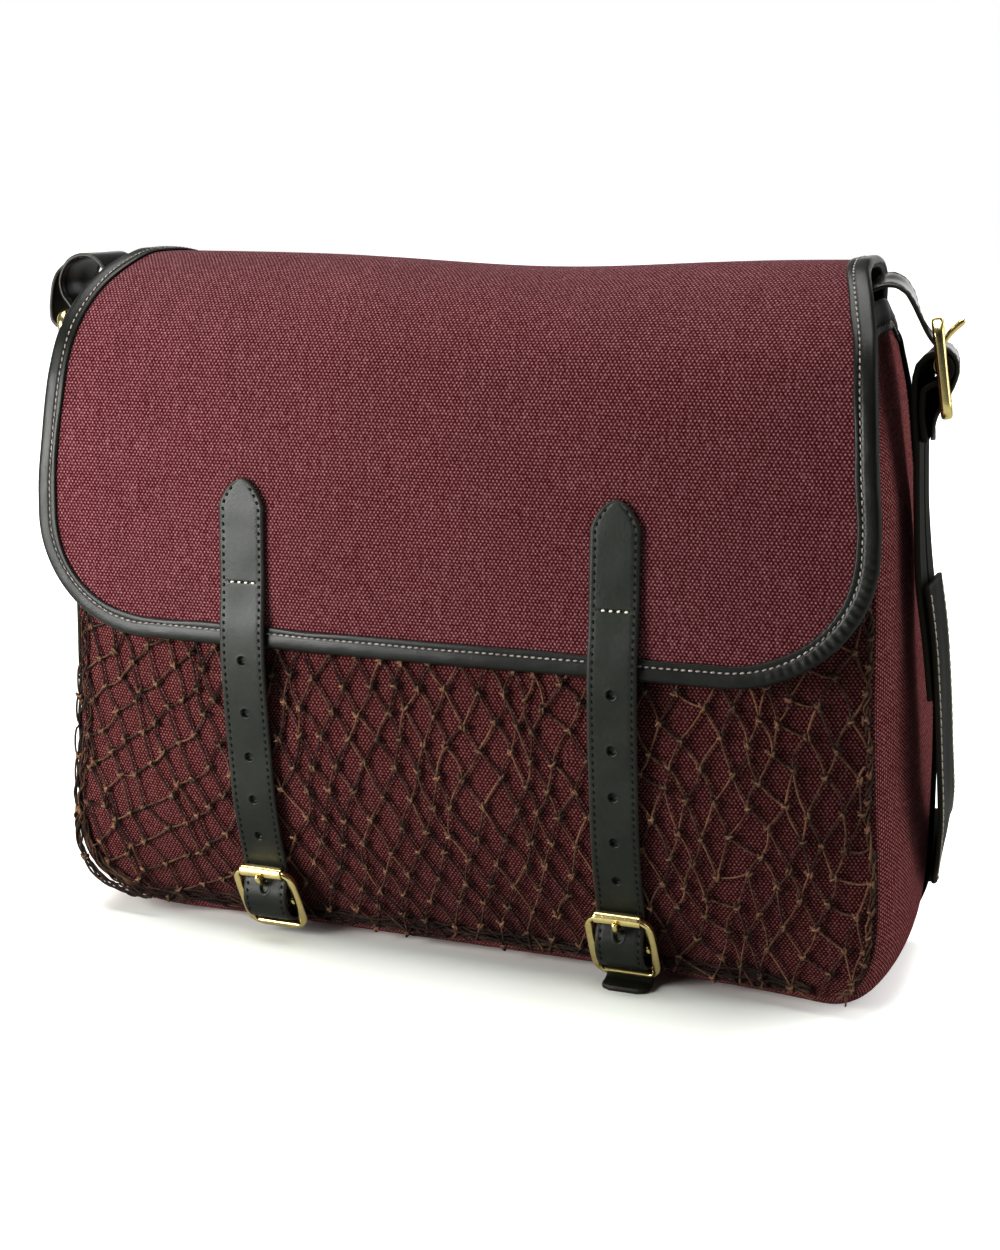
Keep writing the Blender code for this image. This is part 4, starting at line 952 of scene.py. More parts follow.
# Up and out from the centre bar, radius
FLAP_PRONG = [(5.0, -1.9, 1.0), (10.6, 0.8, 1.15), (15.5, 4.0, 1.5), (18.8, 5.3, 1.6), (21.8, 5.4, 0.9)]
SIDE_PRONGS = {
    Side.LEFT: [(5.0, -1.6, 1.1), (10.0, 0.6, 1.1), (14.9, 2.6, 1.3), (17.6, 3.8, 1.25), (19.2, 4.6, 0.6)],
    Side.RIGHT: [(5.0, -1.6, 1.1), (9.0, 0.9, 1.1), (13.5, 4.4, 1.3), (18.0, 10.2, 1.5), (19.2, 11.8, 0.8)],
}


# Body


def channel(reach_out: float, reach_in: float, crest: float, around: int = 12) -> tuple[Array, Array]:
    """Give the closed section of leather folded over a canvas edge.

    Args:
        reach_out: how far down the outer leaf reaches from the fold.
        reach_in: the same for the inner leaf.
        crest: distance of the fold's centre line from the outermost point.
        around: points over the fold.

    Returns:
        Rows of distance in and height out, and the share of worn edge: two leaves of even thickness
        joined by a half round whose radius is half the canvas plus gap plus leather.
    """
    t, w = THIN_LEATHER, CANVAS
    large, small = w / 2 + GAP + t, w / 2 + GAP
    turn = np.radians(np.linspace(90, 270, around))
    end = np.radians(np.linspace(-90, 90, 5))
    fold = np.column_stack([crest + large * np.cos(turn), -w / 2 + large * np.sin(turn)])
    bore = np.column_stack([crest + small * np.cos(turn), -w / 2 + small * np.sin(turn)])[::-1]
    leaf = np.linspace(reach_out, crest, 22)[:-1]
    under = np.linspace(crest, reach_in, 8)[1:]
    rows = [np.column_stack([leaf, np.full(len(leaf), GAP + t)]), fold,
            np.column_stack([under, np.full(len(under), -w - GAP - t)]),
            np.column_stack([reach_in + t / 2 * np.cos(end), -w - GAP - t / 2 + t / 2 * np.sin(end)])[1:-1],
            np.column_stack([under[::-1], np.full(len(under), -w - GAP)]), bore,
            np.column_stack([leaf[::-1], np.full(len(leaf), GAP)]),
            np.column_stack([reach_out + t / 2 * np.cos(end), GAP + t / 2 + t / 2 * np.sin(end)])[1:-1]]
    section = np.concatenate(rows)
    edge = np.concatenate([np.full(len(r), float(k in (3, 7))) for k, r in enumerate(rows)])
    return section, edge


@dataclass
class Body:
    """The bag itself: two panels, the strip between them, its bindings and the piping of the back seam."""

    canvas: Material
    gusset_canvas: Material
    back_canvas: Material
    leather: Material
    thread: Material
    front_top: float = 306.0
    back_top: float = 325.0
    corner_z: float = 50.0
    half_width: float = 208.0
    side_swell: float = 2.4
    rise_z: float = 250.0

    def __post_init__(self) -> None:
        """Make the curves of the seams."""
        self.front_half = graph(SEAMS, 1)
        self.front_side_y = graph(SEAMS, 2)
        self.back_half = graph(SEAMS, 3)
        self.back_side_y = graph(SEAMS, 4)
        self.front_line_y = graph(FRONT_PROFILE, 1)
        self.gusset_top = graph(GUSSET_TOP, 1)
        self.middle_share = 1 - (FLAP_STRAP_X[Side.RIGHT] / self.half_width) ** 4

    def front_y(self, x: Array, z: Array) -> Array:
        """Give the depth of the front panel's face.

        The middle stands forward by the profile, times 1 - |x / half width|^4, less the skew of the
        bottom, plus low waves in the cloth that fade towards the seams.
        """
        side = self.front_side_y(z)
        share = np.minimum(np.abs(x) / self.front_half(z), 1.0)
        skew = -6.0 * np.sign(x) * (np.abs(x) / 200.0) ** 2 * np.exp(-z / 40.0)
        waves = 0.55 * ripple(x / 95.0, z / 120.0, 5) * (1 - share ** 6) * np.clip((z - SEAM_FRONT_Z) / 25.0, 0, 1)
        return side + (self.front_line_y(z) - side) / self.middle_share * (1 - share ** 4) + skew + waves

    def back_y(self, x: Array, z: Array) -> Array:
        """Give the depth of the back panel's face.

        The middle is fuller by 8 mm times 1 - (x / half width)^2 and a half sine over the height, plus
        low waves that fade towards the seams.
        """
        share = np.minimum(np.abs(x) / self.back_half(z), 1.0)
        swell = 8.0 * (1 - share ** 2) * np.sin(np.clip(z / 335.0, 0, 1) * math.pi)
        waves = 0.7 * ripple(x / 110.0, z / 110.0, 8) * (1 - share ** 6) * np.clip((z - SEAM_BACK_Z) / 25.0, 0, 1)
        return self.back_side_y(z) + swell + waves

    def foot(self, side: Side, back: bool) -> Triple:
        """Give the height of a panel's bottom edge, and the width and height of one of its corners."""
        return (SEAM_BACK_Z, *CORNERS[side][2:]) if back else (SEAM_FRONT_Z, *CORNERS[side][:2])

    def limit(self, z: Array, side: Side, back: bool = False) -> Array:
        """Give a panel's half width at a height, its rounded bottom corner included.

        Within the corner, of size rx by rz, the edge is drawn in by rx (1 - c^0.8), where the height
        above the bottom is rz (1 - s^0.8) and c and s are the cosine and sine of one angle.
        """
        half = (self.back_half if back else self.front_half)(np.maximum(z, self.corner_z))
        bottom, rx, rz = self.foot(side, back)
        s = (1 - np.clip((z - bottom) / rz, 0, 1)) ** 1.25
        return half - rx * (1 - np.sqrt(np.maximum(1 - s * s, 0)) ** 0.8)

    def seam(self, back: bool, top: float) -> Array:
        """Give a seam seen from the front as (x, z): down the left, along the bottom, up the right."""
        half = self.back_half if back else self.front_half
        sides = []
        for side in Side:
            bottom, rx, rz = self.foot(side, back)
            down = np.linspace(top, self.corner_z, 90)
            angle = np.radians(90 * np.linspace(0, 1, 26)[1:])
            c, s = np.clip(np.cos(angle), 0, 1), np.sin(angle)
            start = float(half(self.corner_z))
            z0 = bottom + rz * (1 - s ** 0.8) + (self.corner_z - bottom - rz) * (1 - s)
            x = np.concatenate([half(down), start - rx * (1 - c ** 0.8)])
            sides.append(np.column_stack([x, np.concatenate([down, z0])]))
        return joined(*sides, bottom, 120)

    def panel(self, name: str, back: bool) -> bpy.types.Object:
        """Make one panel as a wall over rows of heights, each running from seam to seam."""
        bottom = self.foot(Side.LEFT, back)[0]
        top = self.back_top if back else self.front_top
        z = np.concatenate([bottom + 43.0 * np.linspace(0, 1, 46) ** 2.0, np.linspace(bottom + 46.0, top, 88)])
        u = np.sin(np.linspace(-1, 1, 141) * math.pi / 2 * 0.86) / math.sin(math.pi / 2 * 0.86)
        left, right = self.limit(z, Side.LEFT, back), self.limit(z, Side.RIGHT, back)
        x = fan(left, right, u)
        z_grid = np.tile(z[:, None], (1, len(u)))
        y = (self.back_y if back else self.front_y)(x, z_grid)
        outer = np.stack([x, y, z_grid], -1)
        inner = outer + np.array([0.0, -CANVAS if back else CANVAS, 0.0])
        along = distances(outer[:, 70])
        uv = np.stack([x, np.tile(along[:, None], (1, len(u)))], -1)
        canvas = self.back_canvas if back else self.canvas
        piece = Shape().wall(outer, inner, uv).make(f"{name}_cloth", canvas, Slot.CANVAS, [name])
        width = float(left.max() + right.max()) * MM
        area = float(np.trapz(left + right, along)) * MM * MM
        return piece

    def gusset_face(self) -> tuple[Array, Array, Array]:
        """Give the strip's outer face, its outward directions and its shares from front to back.

        A point is the straight line between the two seams, swelled outward by 2.4 mm times a parabola
        at the sides and by the seam's height times a flatter curve below, so that it stands on the floor.
        The front quarter is fuller, by up to 5 mm on the right and 1.4 mm on the left, as v e^(1 - v)
        with v in quarters.  Towards the top the strip's edge rises from rise_z to the curve of its top.
        """
        front, back = self.seam(False, self.front_top), self.seam(True, self.front_top)
        start = np.column_stack([front[:, 0], self.front_y(*front.T) + CANVAS + GAP, front[:, 1]])
        end = np.column_stack([back[:, 0], self.back_y(*back.T) - CANVAS - GAP / 3, back[:, 1]])
        along = unit(np.gradient((front + back) / 2, axis=0))
        out = np.column_stack([along[:, 1], np.zeros(len(along)), -along[:, 0]])
        v = np.concatenate([[0, 0.015, 0.03], np.linspace(0.06, 0.94, 27), [0.97, 0.985, 1.0]])
        down = np.clip(-out[:, 2], 0, 1)[:, None]
        side = (1 - (2 * v - 1) ** 2)[None]
        swell = (1 - down) * side + down * (1 - (2 * v - 1) ** 8)[None]
        amount = self.side_swell * (1 - down) + (SEAM_FRONT_Z + 0.6) * down
        fade = np.clip((300.0 - start[:, 2:]) / 60.0, 0.25, 1)
        fuller = (np.where(out[:, :1] > 0, 5.0, 1.4) * fade * (1 - down)
                  * (v / 0.25 * np.exp(1 - v / 0.25) - 0.199 * v)[None])
        face = (1 - v)[None, :, None] * start[:, None] + v[None, :, None] * end[:, None]
        high = np.clip((face[..., 2] - 60.0) / 60.0, 0, 1) * (1 - down)
        folds = (0.3 * np.cos((v[None] * 3.4 + 0.2) * 2 * math.pi) * np.clip((face[..., 2] - 150.0) / 120.0, 0, 1)
                 + 0.8 * ripple(v[None] * 1.2, face[..., 2] / 90.0, 12)) * side * high
        face = face + (swell * amount + folds + fuller)[..., None] * out[:, None]
        before = face[..., 2].copy()
        fade = np.clip((before - self.rise_z) / (self.front_top - self.rise_z), 0, 1)
        face[..., 2] += fade * (self.gusset_top(v)[None] - self.front_top)
        face[..., 0] += np.sign(face[..., 0]) * (self.front_half(face[..., 2]) - self.front_half(before))
        face[..., 1] += v[None] * (self.back_side_y(face[..., 2]) - self.back_side_y(before))
        face[..., 2] = np.maximum(face[..., 2], 0.0)
        return face, out, v

    def gusset(self) -> bpy.types.Object:
        """Make the strip down one side, under the bag and up the other."""
        outer, out, _ = self.gusset_face()
        inner = outer - CANVAS * out[:, None]
        inner[..., 2] = np.where(outer[..., 2] < CANVAS, np.maximum(inner[..., 2], CANVAS), inner[..., 2])
        along, across = distances(outer[:, outer.shape[1] // 2]), distances(outer)
        uv = np.stack([np.tile(along[:, None], (1, outer.shape[1])), across], -1)
        piece = Shape().wall(outer, inner, uv).make("gusset_cloth", self.gusset_canvas, Slot.CANVAS, ["gusset"])
        return piece

    def gusset_bindings(self) -> None:
        """Fold leather over the top edge of each end of the strip and sew it."""
        outer, _, v = self.gusset_face()
        section, worn = channel(12.0, 9.0, 0.1)
        for side, column, below in ((Side.LEFT, 0, 6), (Side.RIGHT, -1, -7)):
            picks = np.linspace(0.03, 0.97, 60)
            top, under = resample(v, outer[column], picks), resample(v, outer[below], picks)
            down = unit(under - top)
            out = np.tile([side.sign, 0.0, 0.0], (len(picks), 1))
            out = unit(out - down * np.sum(out * down, axis=1, keepdims=True))
            row = 9.2 + 0.25 * np.sin(picks * 60.0)
            d, face = section[None, :, 0], section[None, :, 1] > 0.5
            dent = -0.45 * bell(d, row[:, None], 1.1) * face + 0.35 * bell(d, 4.2, 2.4) * face
            points = (top[:, None] + section[None, :, :1] * down[:, None]
                      + (section[None, :, 1] + dent)[..., None] * out[:, None])
            girth = np.append(distances(section), CHANNEL_GIRTH)
            shape = Shape().tube(points, distances(top), girth, np.tile(worn[None] * 0.7, (len(picks), 1)))
            shape.stand(f"gusset_binding_{side.value}", self.leather)
            sewing = Shape()
            line = top + row[:, None] * down + (GAP + THIN_LEATHER - 0.45) * out
            stitch_row(sewing, line, out, 4.0)
            sewing.make(f"gusset_stitches_{side.value}", self.thread, Slot.LEATHER)

    def piping(self) -> None:
        """Carry the rolled piping round the back seam."""
        line = self.seam(True, self.back_top - 8.0)
        along = unit(np.gradient(line, axis=0))
        out = np.column_stack([along[:, 1], -along[:, 0]])
        centres = np.column_stack([line[:, 0] + 0.3 * out[:, 0], self.back_y(*line.T) + 2.0,
                                   line[:, 1] + 0.3 * out[:, 1]])
        fade = np.clip(1 - np.arange(len(centres)) / 3.0, 0, 1)
        centres[:, 2] -= 4.0 * (fade + fade[::-1])
        path = Path(centres)
        s = np.linspace(0, path.length, 420)
        here, tangent = path.at(s), path.along(s)
        radius = 1.92 * (1 + 0.03 * np.sin(s / 3.1) + 0.02 * np.sin(s / 1.7))
        points = here[:, None] + radius[:, None, None] * spokes(tangent, DEPTH, 14)
        Shape().tube(points, s, np.arange(15) * 0.8).stand("back_piping", self.leather)

    def build(self) -> None:
        """Make every piece of the body."""
        self.panel("front_panel", False)
        self.panel("back_panel", True)
        self.gusset()
        self.gusset_bindings()
        self.piping()


# Flap


@dataclass
class Flap:
    """The canvas flap over the top and front, with the leather binding folded over its free edge."""

    canvas: Material
    leather: Material
    thread: Material
    inset: float = 2.6
    row: float = 7.6
    widest: float = 234.0
    corner_run: float = 66.0
    pleated: float = 330.0

    def __post_init__(self) -> None:
        """Make the side view and the widths."""
        self.line = Path(FLAP_PROFILE)
        self.half = graph(FLAP_WIDTHS, 1)
        self.length = self.line.length

    def point(self, x: Array, s: Array, height: Array | float) -> Array:
        """Give points at a distance across, along and out from the flap's face.

        The side view is carried across, with 1.6 mm more fullness in the middle of the front, a 6 mm
        sag over the crest, low waves everywhere and a few shallow folds at the upper left.
        """
        flat = s.reshape(-1)
        here, along = self.line.at(flat), self.line.along(flat)
        y, z = here[:, 0].reshape(s.shape), here[:, 1].reshape(s.shape)
        ny, nz = along[:, 1].reshape(s.shape), -along[:, 0].reshape(s.shape)
        fullness = 1.6 * bell(x, 0.0, 70.0)
        sag = -6.0 * bell(x, 28.0, 85.0) * bell(s, 75.0, 55.0)
        waves = 0.45 * ripple(x / 120.0, s / 110.0, 21) * np.clip((s - 60.0) / 60.0, 0, 1)
        folds = 0.32 * np.sin(x / 3.4 + s / 60.0) * bell(x, -150.0, 32.0) * bell(s, 150.0, 45.0)
        height = height + waves + folds
        return np.stack([x, y - fullness * np.clip((s - 150.0) / 60.0, 0, 1) + ny * height,
                         z + sag + nz * height], axis=-1)

    def limit(self, s: Array, side: Side, inset: float) -> Array:
        """Give the half width along the flap less an inset; each corner is a quarter of an ellipse."""
        rx, rs = FLAP_CORNERS[side]
        start, end = self.length - rs, self.length - inset
        rise = np.clip((s - start) / (end - start), 0, 1)
        return self.half(np.minimum(s, self.widest)) - inset - (rx - inset) * (1 - np.sqrt(1 - rise ** 2))

    def outline(self) -> Array:
        """Give the free edge as (x, along): down the left, along the front, up the right."""
        sides = []
        for side in Side:
            rx, rs = FLAP_CORNERS[side]
            down = np.linspace(0, self.length - rs, 170)
            angle = np.radians(np.linspace(0, 90, 90)[1:])
            x = float(self.half(self.widest)) - rx * (1 - np.cos(angle))
            s = self.length - rs + rs * np.sin(angle)
            sides.append(np.column_stack([np.concatenate([self.half(np.minimum(down, self.widest)), x]),
                                          np.concatenate([down, s])]))
        return joined(*sides, self.length, 190)

    def cloth(self) -> None:
        """Make the canvas as rows across, packed closer where the corners turn."""
        end = self.length - self.inset
        turn = end - self.corner_run * (1 - np.sin(np.radians(np.linspace(0, 90, 44))))
        s = np.concatenate([np.linspace(0, end - self.corner_run, 120)[:-1], turn])
        u = np.linspace(-1, 1, 180)
        left, right = self.limit(s, Side.LEFT, self.inset), self.limit(s, Side.RIGHT, self.inset)
        x = fan(left, right, u)
        grid_s = np.tile(s[:, None], (1, len(u)))
        shape = Shape().wall(self.point(x, grid_s, 0.0), self.point(x, grid_s, -CANVAS), np.stack([x, -grid_s], -1))
        piece = shape.make("flap_cloth", self.canvas, Slot.CANVAS, ["flap"])
        area = float(np.trapz(left + right, s)) * MM * MM
        flat = (float((left + right).max()) * MM, end * MM)

    def binding(self) -> None:
        """Carry the folded leather along the free edge.

        The outer leaf swells into a roll outside its stitches and dips along them; round the right
        corner the roll is gathered into pleats that run in from the edge.
        """
        outline = self.outline()
        t = distances(outline)
        where = np.concatenate([np.arange(0, t[-1] - self.pleated, 1.9), np.arange(t[-1] - self.pleated, t[-1], 0.8)])
        edge = resample(t, outline, where)
        tangent = unit(resample(t, outline, where + 1.5) - resample(t, outline, where - 1.5))
        inward = np.column_stack([-tangent[:, 1], tangent[:, 0]])
        inward *= np.sign(np.sum(inward * (np.array([0.0, 150.0]) - edge), axis=1))[:, None]
        section, worn = channel(10.0, 8.5, 2.45, 16)
        d, h = section[None, :, 0], section[None, :, 1]
        face = (h > 0.9).astype(float)
        corner = bell(where, t[-1] - self.length + 22.0, 34.0)[:, None]
        rng = np.random.default_rng(4)
        shifts = np.arange(0, t[-1], 12.0)
        phase = where / 4.6 * 2 * math.pi + np.interp(where, shifts, rng.uniform(-1.4, 1.4, len(shifts)))
        pleat = np.abs(np.sin(phase / 2))[:, None] ** 0.6 - 0.62
        small = 0.10 * np.sin(where / 2.9)[:, None] * np.sin(where / 17.0)[:, None]
        wander = 0.35 * ripple(where / 60.0, where * 0, 31)[:, None]
        relief = face * (0.42 * bell(d, 3.6, 3.0) - 0.34 * bell(d, self.row, 0.8)
                         + (corner * 1.15 * pleat + small) * bell(d, 2.8, 2.6) - 0.12 * np.clip(d - 8.2, 0, 2))
        distance = d + (wander + corner * 0.5 * pleat) * (d > 8.5) * face
        place = edge[:, None] + distance[..., None] * inward[:, None]
        points = self.point(place[..., 0], place[..., 1], h + relief)
        girth = np.append(distances(section), CHANNEL_GIRTH)
        rub = np.clip(1 - np.abs(d - 0.2) / 1.1, 0, 1) * 0.65 + worn[None] * 0.5
        Shape().tube(points, where, girth, np.tile(rub, (len(where), 1))).stand("flap_binding", self.leather)
        sewing = Shape()
        row = edge + (self.row + 0.12 * np.sin(where / 9.0))[:, None] * inward
        line = self.point(row[:, 0], row[:, 1], GAP + THIN_LEATHER - 0.28)
        lifted = self.point(row[:, 0], row[:, 1], GAP + THIN_LEATHER + 1.0)
        stitch_row(sewing, line, unit(lifted - line), 3.4, length=2.2, radius=0.46, sink=0.0)
        sewing.make("flap_binding_stitches", self.thread, Slot.LEATHER)

    def build(self) -> None:
        """Make the flap and its binding."""
        self.cloth()
        self.binding()


# Net


@dataclass
class Net:
    """The knotted game net over the front, drawn up at the sides and pulled under the bottom edge.

    Knots stand on a staggered lattice.  On the left it is sheared and its long strands run in doubled
    lines; on the right its zigzag columns are drawn together in pairs.
    """

    body: Body
    cord: Material
    half_pitch: float = 6.75
    drop: float = 14.0
    radius: float = 0.55
    bottom: float = 8.5
    top: float = 206.0
    seed: int = 17

    def limits(self, z: Array) -> tuple[Array, Array]:
        """Give the net's left and right edges at a height."""
        high = np.maximum(z, SEAM_FRONT_Z + 0.5)
        return (-self.body.limit(high, Side.LEFT) + 6.0, self.body.limit(high, Side.RIGHT) - 3.2)

    def face(self, x: Array, z: Array, height: Array | float) -> Array:
        """Give points over the front panel, standing off a little more towards the bottom."""
        stand = height + 1.1 * np.exp(-z / 22.0)
        return np.stack([x, self.body.front_y(x, np.maximum(z, SEAM_FRONT_Z)) - stand, z], axis=-1)

    def parts(self, x: Array) -> tuple[Array, Array]:
        """Give the shares of the sheared left part and the paired right part.

        Each is 1 / (1 + e^t): the left one falls off round x = -112 mm, the right one rises round 88 mm.
        """
        return 1 / (1 + np.exp((x + 112.0) / 14.0)), 1 / (1 + np.exp((88.0 - x) / 12.0))

    def lattice(self) -> tuple[Array, Array, Array]:
        """Place the knots.

        Returns:
            Their x, their z and which of them exist, by column and row of the half-pitch lattice.
        """
        rng = np.random.default_rng(self.seed)
        i, j = np.meshgrid(np.arange(-44, 40), np.arange(-6, 26), indexing="ij")
        x, z = i * self.half_pitch, self.top - 4.0 - j * self.drop
        left, right = self.parts(x)
        depth = (x + 100.0) * left / self.half_pitch
        row = (z - 95.0) / -self.drop
        x = x + depth * 0.9 - left * row * 2.05 + (1 - left) * row * 1.45
        z = z - depth * 3.4 + left * row * 3.2
        line = ((i - j) // 2) % 4
        x = x + left * np.choose(line, [2.6, -2.6, -1.1, 1.1])
        rung = 0.5 - (((i + j) // 2) % 4) / 3.0
        pull = right * rung * (0.85 + 0.35 * ripple(x / 60.0, z / 70.0, 44))
        x, z = x + 5.2 * pull, z + 10.0 * pull
        middle = bell(x, 50.0, 16.0)
        x = x - 0.30 * (x - 50.0) * middle
        sway = 1.6 * np.sin(z / 31.0 + i * 0.7) + 1.2 * ripple(x / 70.0, z / 60.0, 41)
        loose = 0.75 + 0.55 * left + 0.3 * right
        x = x + sway + rng.normal(0, 1, x.shape) * loose
        z = z + 2.0 * ripple(x / 80.0, z / 90.0, 42) + rng.normal(0, 1.25, x.shape) * loose
        return x, z, (i + j) % 2 == 0

    def strand(self, start: Array, end: Array, slack: Array, rng: np.random.Generator) -> Array:
        """Lay strands between pairs of flat points (x, z).

        A strand is the straight line plus a parabola of slack, drooping down and aside, and lies
        lower on the canvas at its middle than at its knots.
        """
        t = np.linspace(0, 1, 6)[None, :]
        bow = 4 * t * (1 - t)
        droop = rng.normal(0, 0.85, (len(start), 1)) + slack[:, None] * 0.35
        x = start[:, None, 0] * (1 - t) + end[:, None, 0] * t + bow * droop * np.sign(end - start)[:, None, 0]
        z = start[:, None, 1] * (1 - t) + end[:, None, 1] * t - bow * slack[:, None]
        height = 1.25 + self.radius + rng.uniform(-0.2, 0.5, (len(start), 1)) + (1 - bow) * 0.35
        return self.face(x, z, height)

    def round_off(self, centres: Array, radius: float | Array, sides: int = 5) -> Array:
        """Put round sections along many lines at once."""
        along = unit(np.gradient(centres, axis=1))
        return centres[:, :, None] + np.reshape(radius, (-1, 1, 1, 1)) * spokes(along, DEPTH, sides)

    def mesh(self, shape: Shape) -> None:
        """Add the knots and the strands between them."""
        rng = np.random.default_rng(self.seed + 1)
        x, z, there = self.lattice()
        low, high = self.limits(z)
        inside = there & (x > low) & (x < high) & (z > self.bottom) & (z < self.top)
        starts, ends, slacks = [], [], []
        for step in (1, -1):
            a = (slice(1, -1), slice(0, -1))
            b = (slice(1 + step, x.shape[0] - 1 + step), slice(1, None))
            use = there[a] & (inside[a] | inside[b])
            p = np.stack([x[a][use], z[a][use]], -1)
            q = np.stack([x[b][use], z[b][use]], -1)
            starts.append(self.clip(p, q))
            ends.append(self.clip(q, p))
            left, right = self.parts(p[:, 0])
            flat = np.abs(p[:, 0] - q[:, 0]) > np.abs(p[:, 1] - q[:, 1])
            slacks.append(0.2 + left * (step < 0) * 0.9 + right * flat * 1.6)
        start, end, slack = np.concatenate(starts), np.concatenate(ends), np.concatenate(slacks)
        keep = np.linalg.norm(end - start, axis=1) > 1.5
        start, end, slack = start[keep], end[keep], slack[keep]
        lines = self.strand(start, end, slack, rng)
        radius = self.radius * rng.uniform(0.86, 1.18, len(lines))
        browner = -0.08 + 0.20 / (1 + np.exp((40.0 - start[:, 0]) / 40.0))
        run = np.abs(end - start)
        darker = 0.35 * (run[:, 1] > 1.2 * run[:, 0]) / (1 + np.exp((start[:, 0] + 60.0) / 30.0))
        shade = browner - darker + rng.uniform(-0.45, 0.35, len(lines))
        shape.cords(self.round_off(lines, radius), distances(lines), shade)
        knots = np.stack([x[inside], z[inside]], -1)
        self.knots(shape, self.face(knots[:, 0], knots[:, 1], 1.25 + self.radius + 0.7), rng)

    def knots(self, shape: Shape, centres: Array, rng: np.random.Generator) -> None:
        """Tie a knot at each point: two lobes that cross and two short turns over them.  Their share of the lighter
        colour rises with their lift: the lowest lobe is painted dark as shade in the knot's core and the small top turn
        is painted light as a glint.
        """
        up = np.tile([0.0, -1.0, 0.0], (len(centres), 1))
        for angle, length, radius, lift, across, shade in ((62.0, 4.9, 0.95, 0.0, 0.8, -0.9),
                                                           (118.0, 4.6, 0.90, 0.3, -0.6, 0.0),
                                                           (80.0, 3.4, 0.66, 0.8, 0.7, 0.3),
                                                           (15.0, 2.6, 0.60, 1.1, -0.2, 0.6)):
            turn = np.radians(angle + rng.normal(0, 24, len(centres)))
            along = np.column_stack([np.cos(turn), np.zeros(len(turn)), np.sin(turn)])
            spot = centres + up * lift + np.array([across, 0.0, -0.3]) + rng.normal(0, 0.3, centres.shape) * (1, 0, 1)
            shape.beads(spot, along, up, length * rng.uniform(0.75, 1.25, len(centres)), radius, 0.85, shade, 5)

    def clip(self, point: Array, other: Array) -> Array:
        """Draw points beyond the net's edges back along their strand to the edge."""
        result = point.copy()
        for axis in (0, 1) * 3:
            low, high = (self.bottom, self.top) if axis else self.limits(result[:, 1])
            for bad, target in ((result[:, axis] < low, low), (result[:, axis] > high, high)):
                run = result[:, axis] - other[:, axis]
                share = np.clip((target - other[:, axis]) / np.where(np.abs(run) < 1e-3, 1e-3, run), 0.02, 1.0)
                result = np.where(bad[:, None], other + (result - other) * share[:, None], result)
        return result

    def rope(self, shape: Shape, points: Array, radius: float, turns: float, count: int, seed: int,
             spread: float, shade: float = -0.3) -> None:
        """Twist a few loose strands round a line.

        Args:
            shape: where they go.
            points: the line.
            radius: half the thickness of a strand.
            turns: millimetres to a turn.
            count: how many strands.
            seed: which unevenness.
            spread: how far they stand from the line.
            shade: their share of the lighter colour.
        """
        path = Path(points)
        s = np.linspace(0, path.length, max(12, int(path.length / 1.7)))
        here, along = path.at(s), path.along(s)
        first = unit(np.cross(along, DEPTH))
        second = np.cross(along, first)
        rng = np.random.default_rng(seed)
        for k in range(count):
            wander = ripple(s / 23.0, s * 0 + k, seed + k, 5)
            angle = s / turns * 2 * math.pi + 2 * math.pi * k / count + wander * 0.8
            reach = spread * (1 + 0.45 * ripple(s / 31.0, s * 0 + 7 * k, seed + 9 + k, 5))
            line = here + reach[:, None] * (np.cos(angle)[:, None] * first + 0.6 * np.sin(angle)[:, None] * second)
            shape.cords(self.round_off(line[None], radius), distances(line[None]), shade + rng.uniform(-0.2, 0.3, 1))

    def edges(self, shape: Shape) -> None:
        """Add the gathered edges: bundles up both sides and the strands drawn under the bottom."""
        z = np.linspace(12.0, 200.0, 60)
        low, high = self.limits(z)
        side = high + 0.8 + 0.8 * np.sin(z / 9.0)
        self.rope(shape, self.face(side, z, 1.9), 0.5, 17.0, 3, 3, 1.1, 0.0)
        self.knots(shape, self.face(side[2::4], z[2::4], 2.9), np.random.default_rng(self.seed + 7))
        inner = 1.5 * np.sin(z / 14.0) - 2.2 * np.clip((150.0 - z) / 90.0, 0, 1)
        self.rope(shape, self.face(low + inner, z, 1.9), 0.5, 33.0, 4, 5, 1.7)
        angle = np.radians(np.linspace(0, 90, 16))
        left, right = self.limits(np.array([SEAM_FRONT_Z]))
        for k, (drop, count) in enumerate(((-0.5, 3), (-3.5, 3), (-7.0, 2))):
            x = np.linspace(float(left[0]) - 2.0, float(right[0]) - 4.0, 70)
            z = SEAM_FRONT_Z - drop + 0.8 * np.sin(x / 23.0 + k) + 0.9 * np.sin(x / 9.0 + 2 * k)
            self.rope(shape, self.face(x, z, 0.9 + 0.4 * k), 0.50, 34.0 + 9 * k, count, 31 + k, 1.1, -0.5)
            x = -209.0 + 54.0 * (1 - np.cos(angle))
            self.rope(shape, self.face(x, 50.0 - (42.0 + drop * 0.6) * np.sin(angle), 1.7 + 0.3 * k), 0.47, 40.0,
                      count, 51 + k, 1.3)

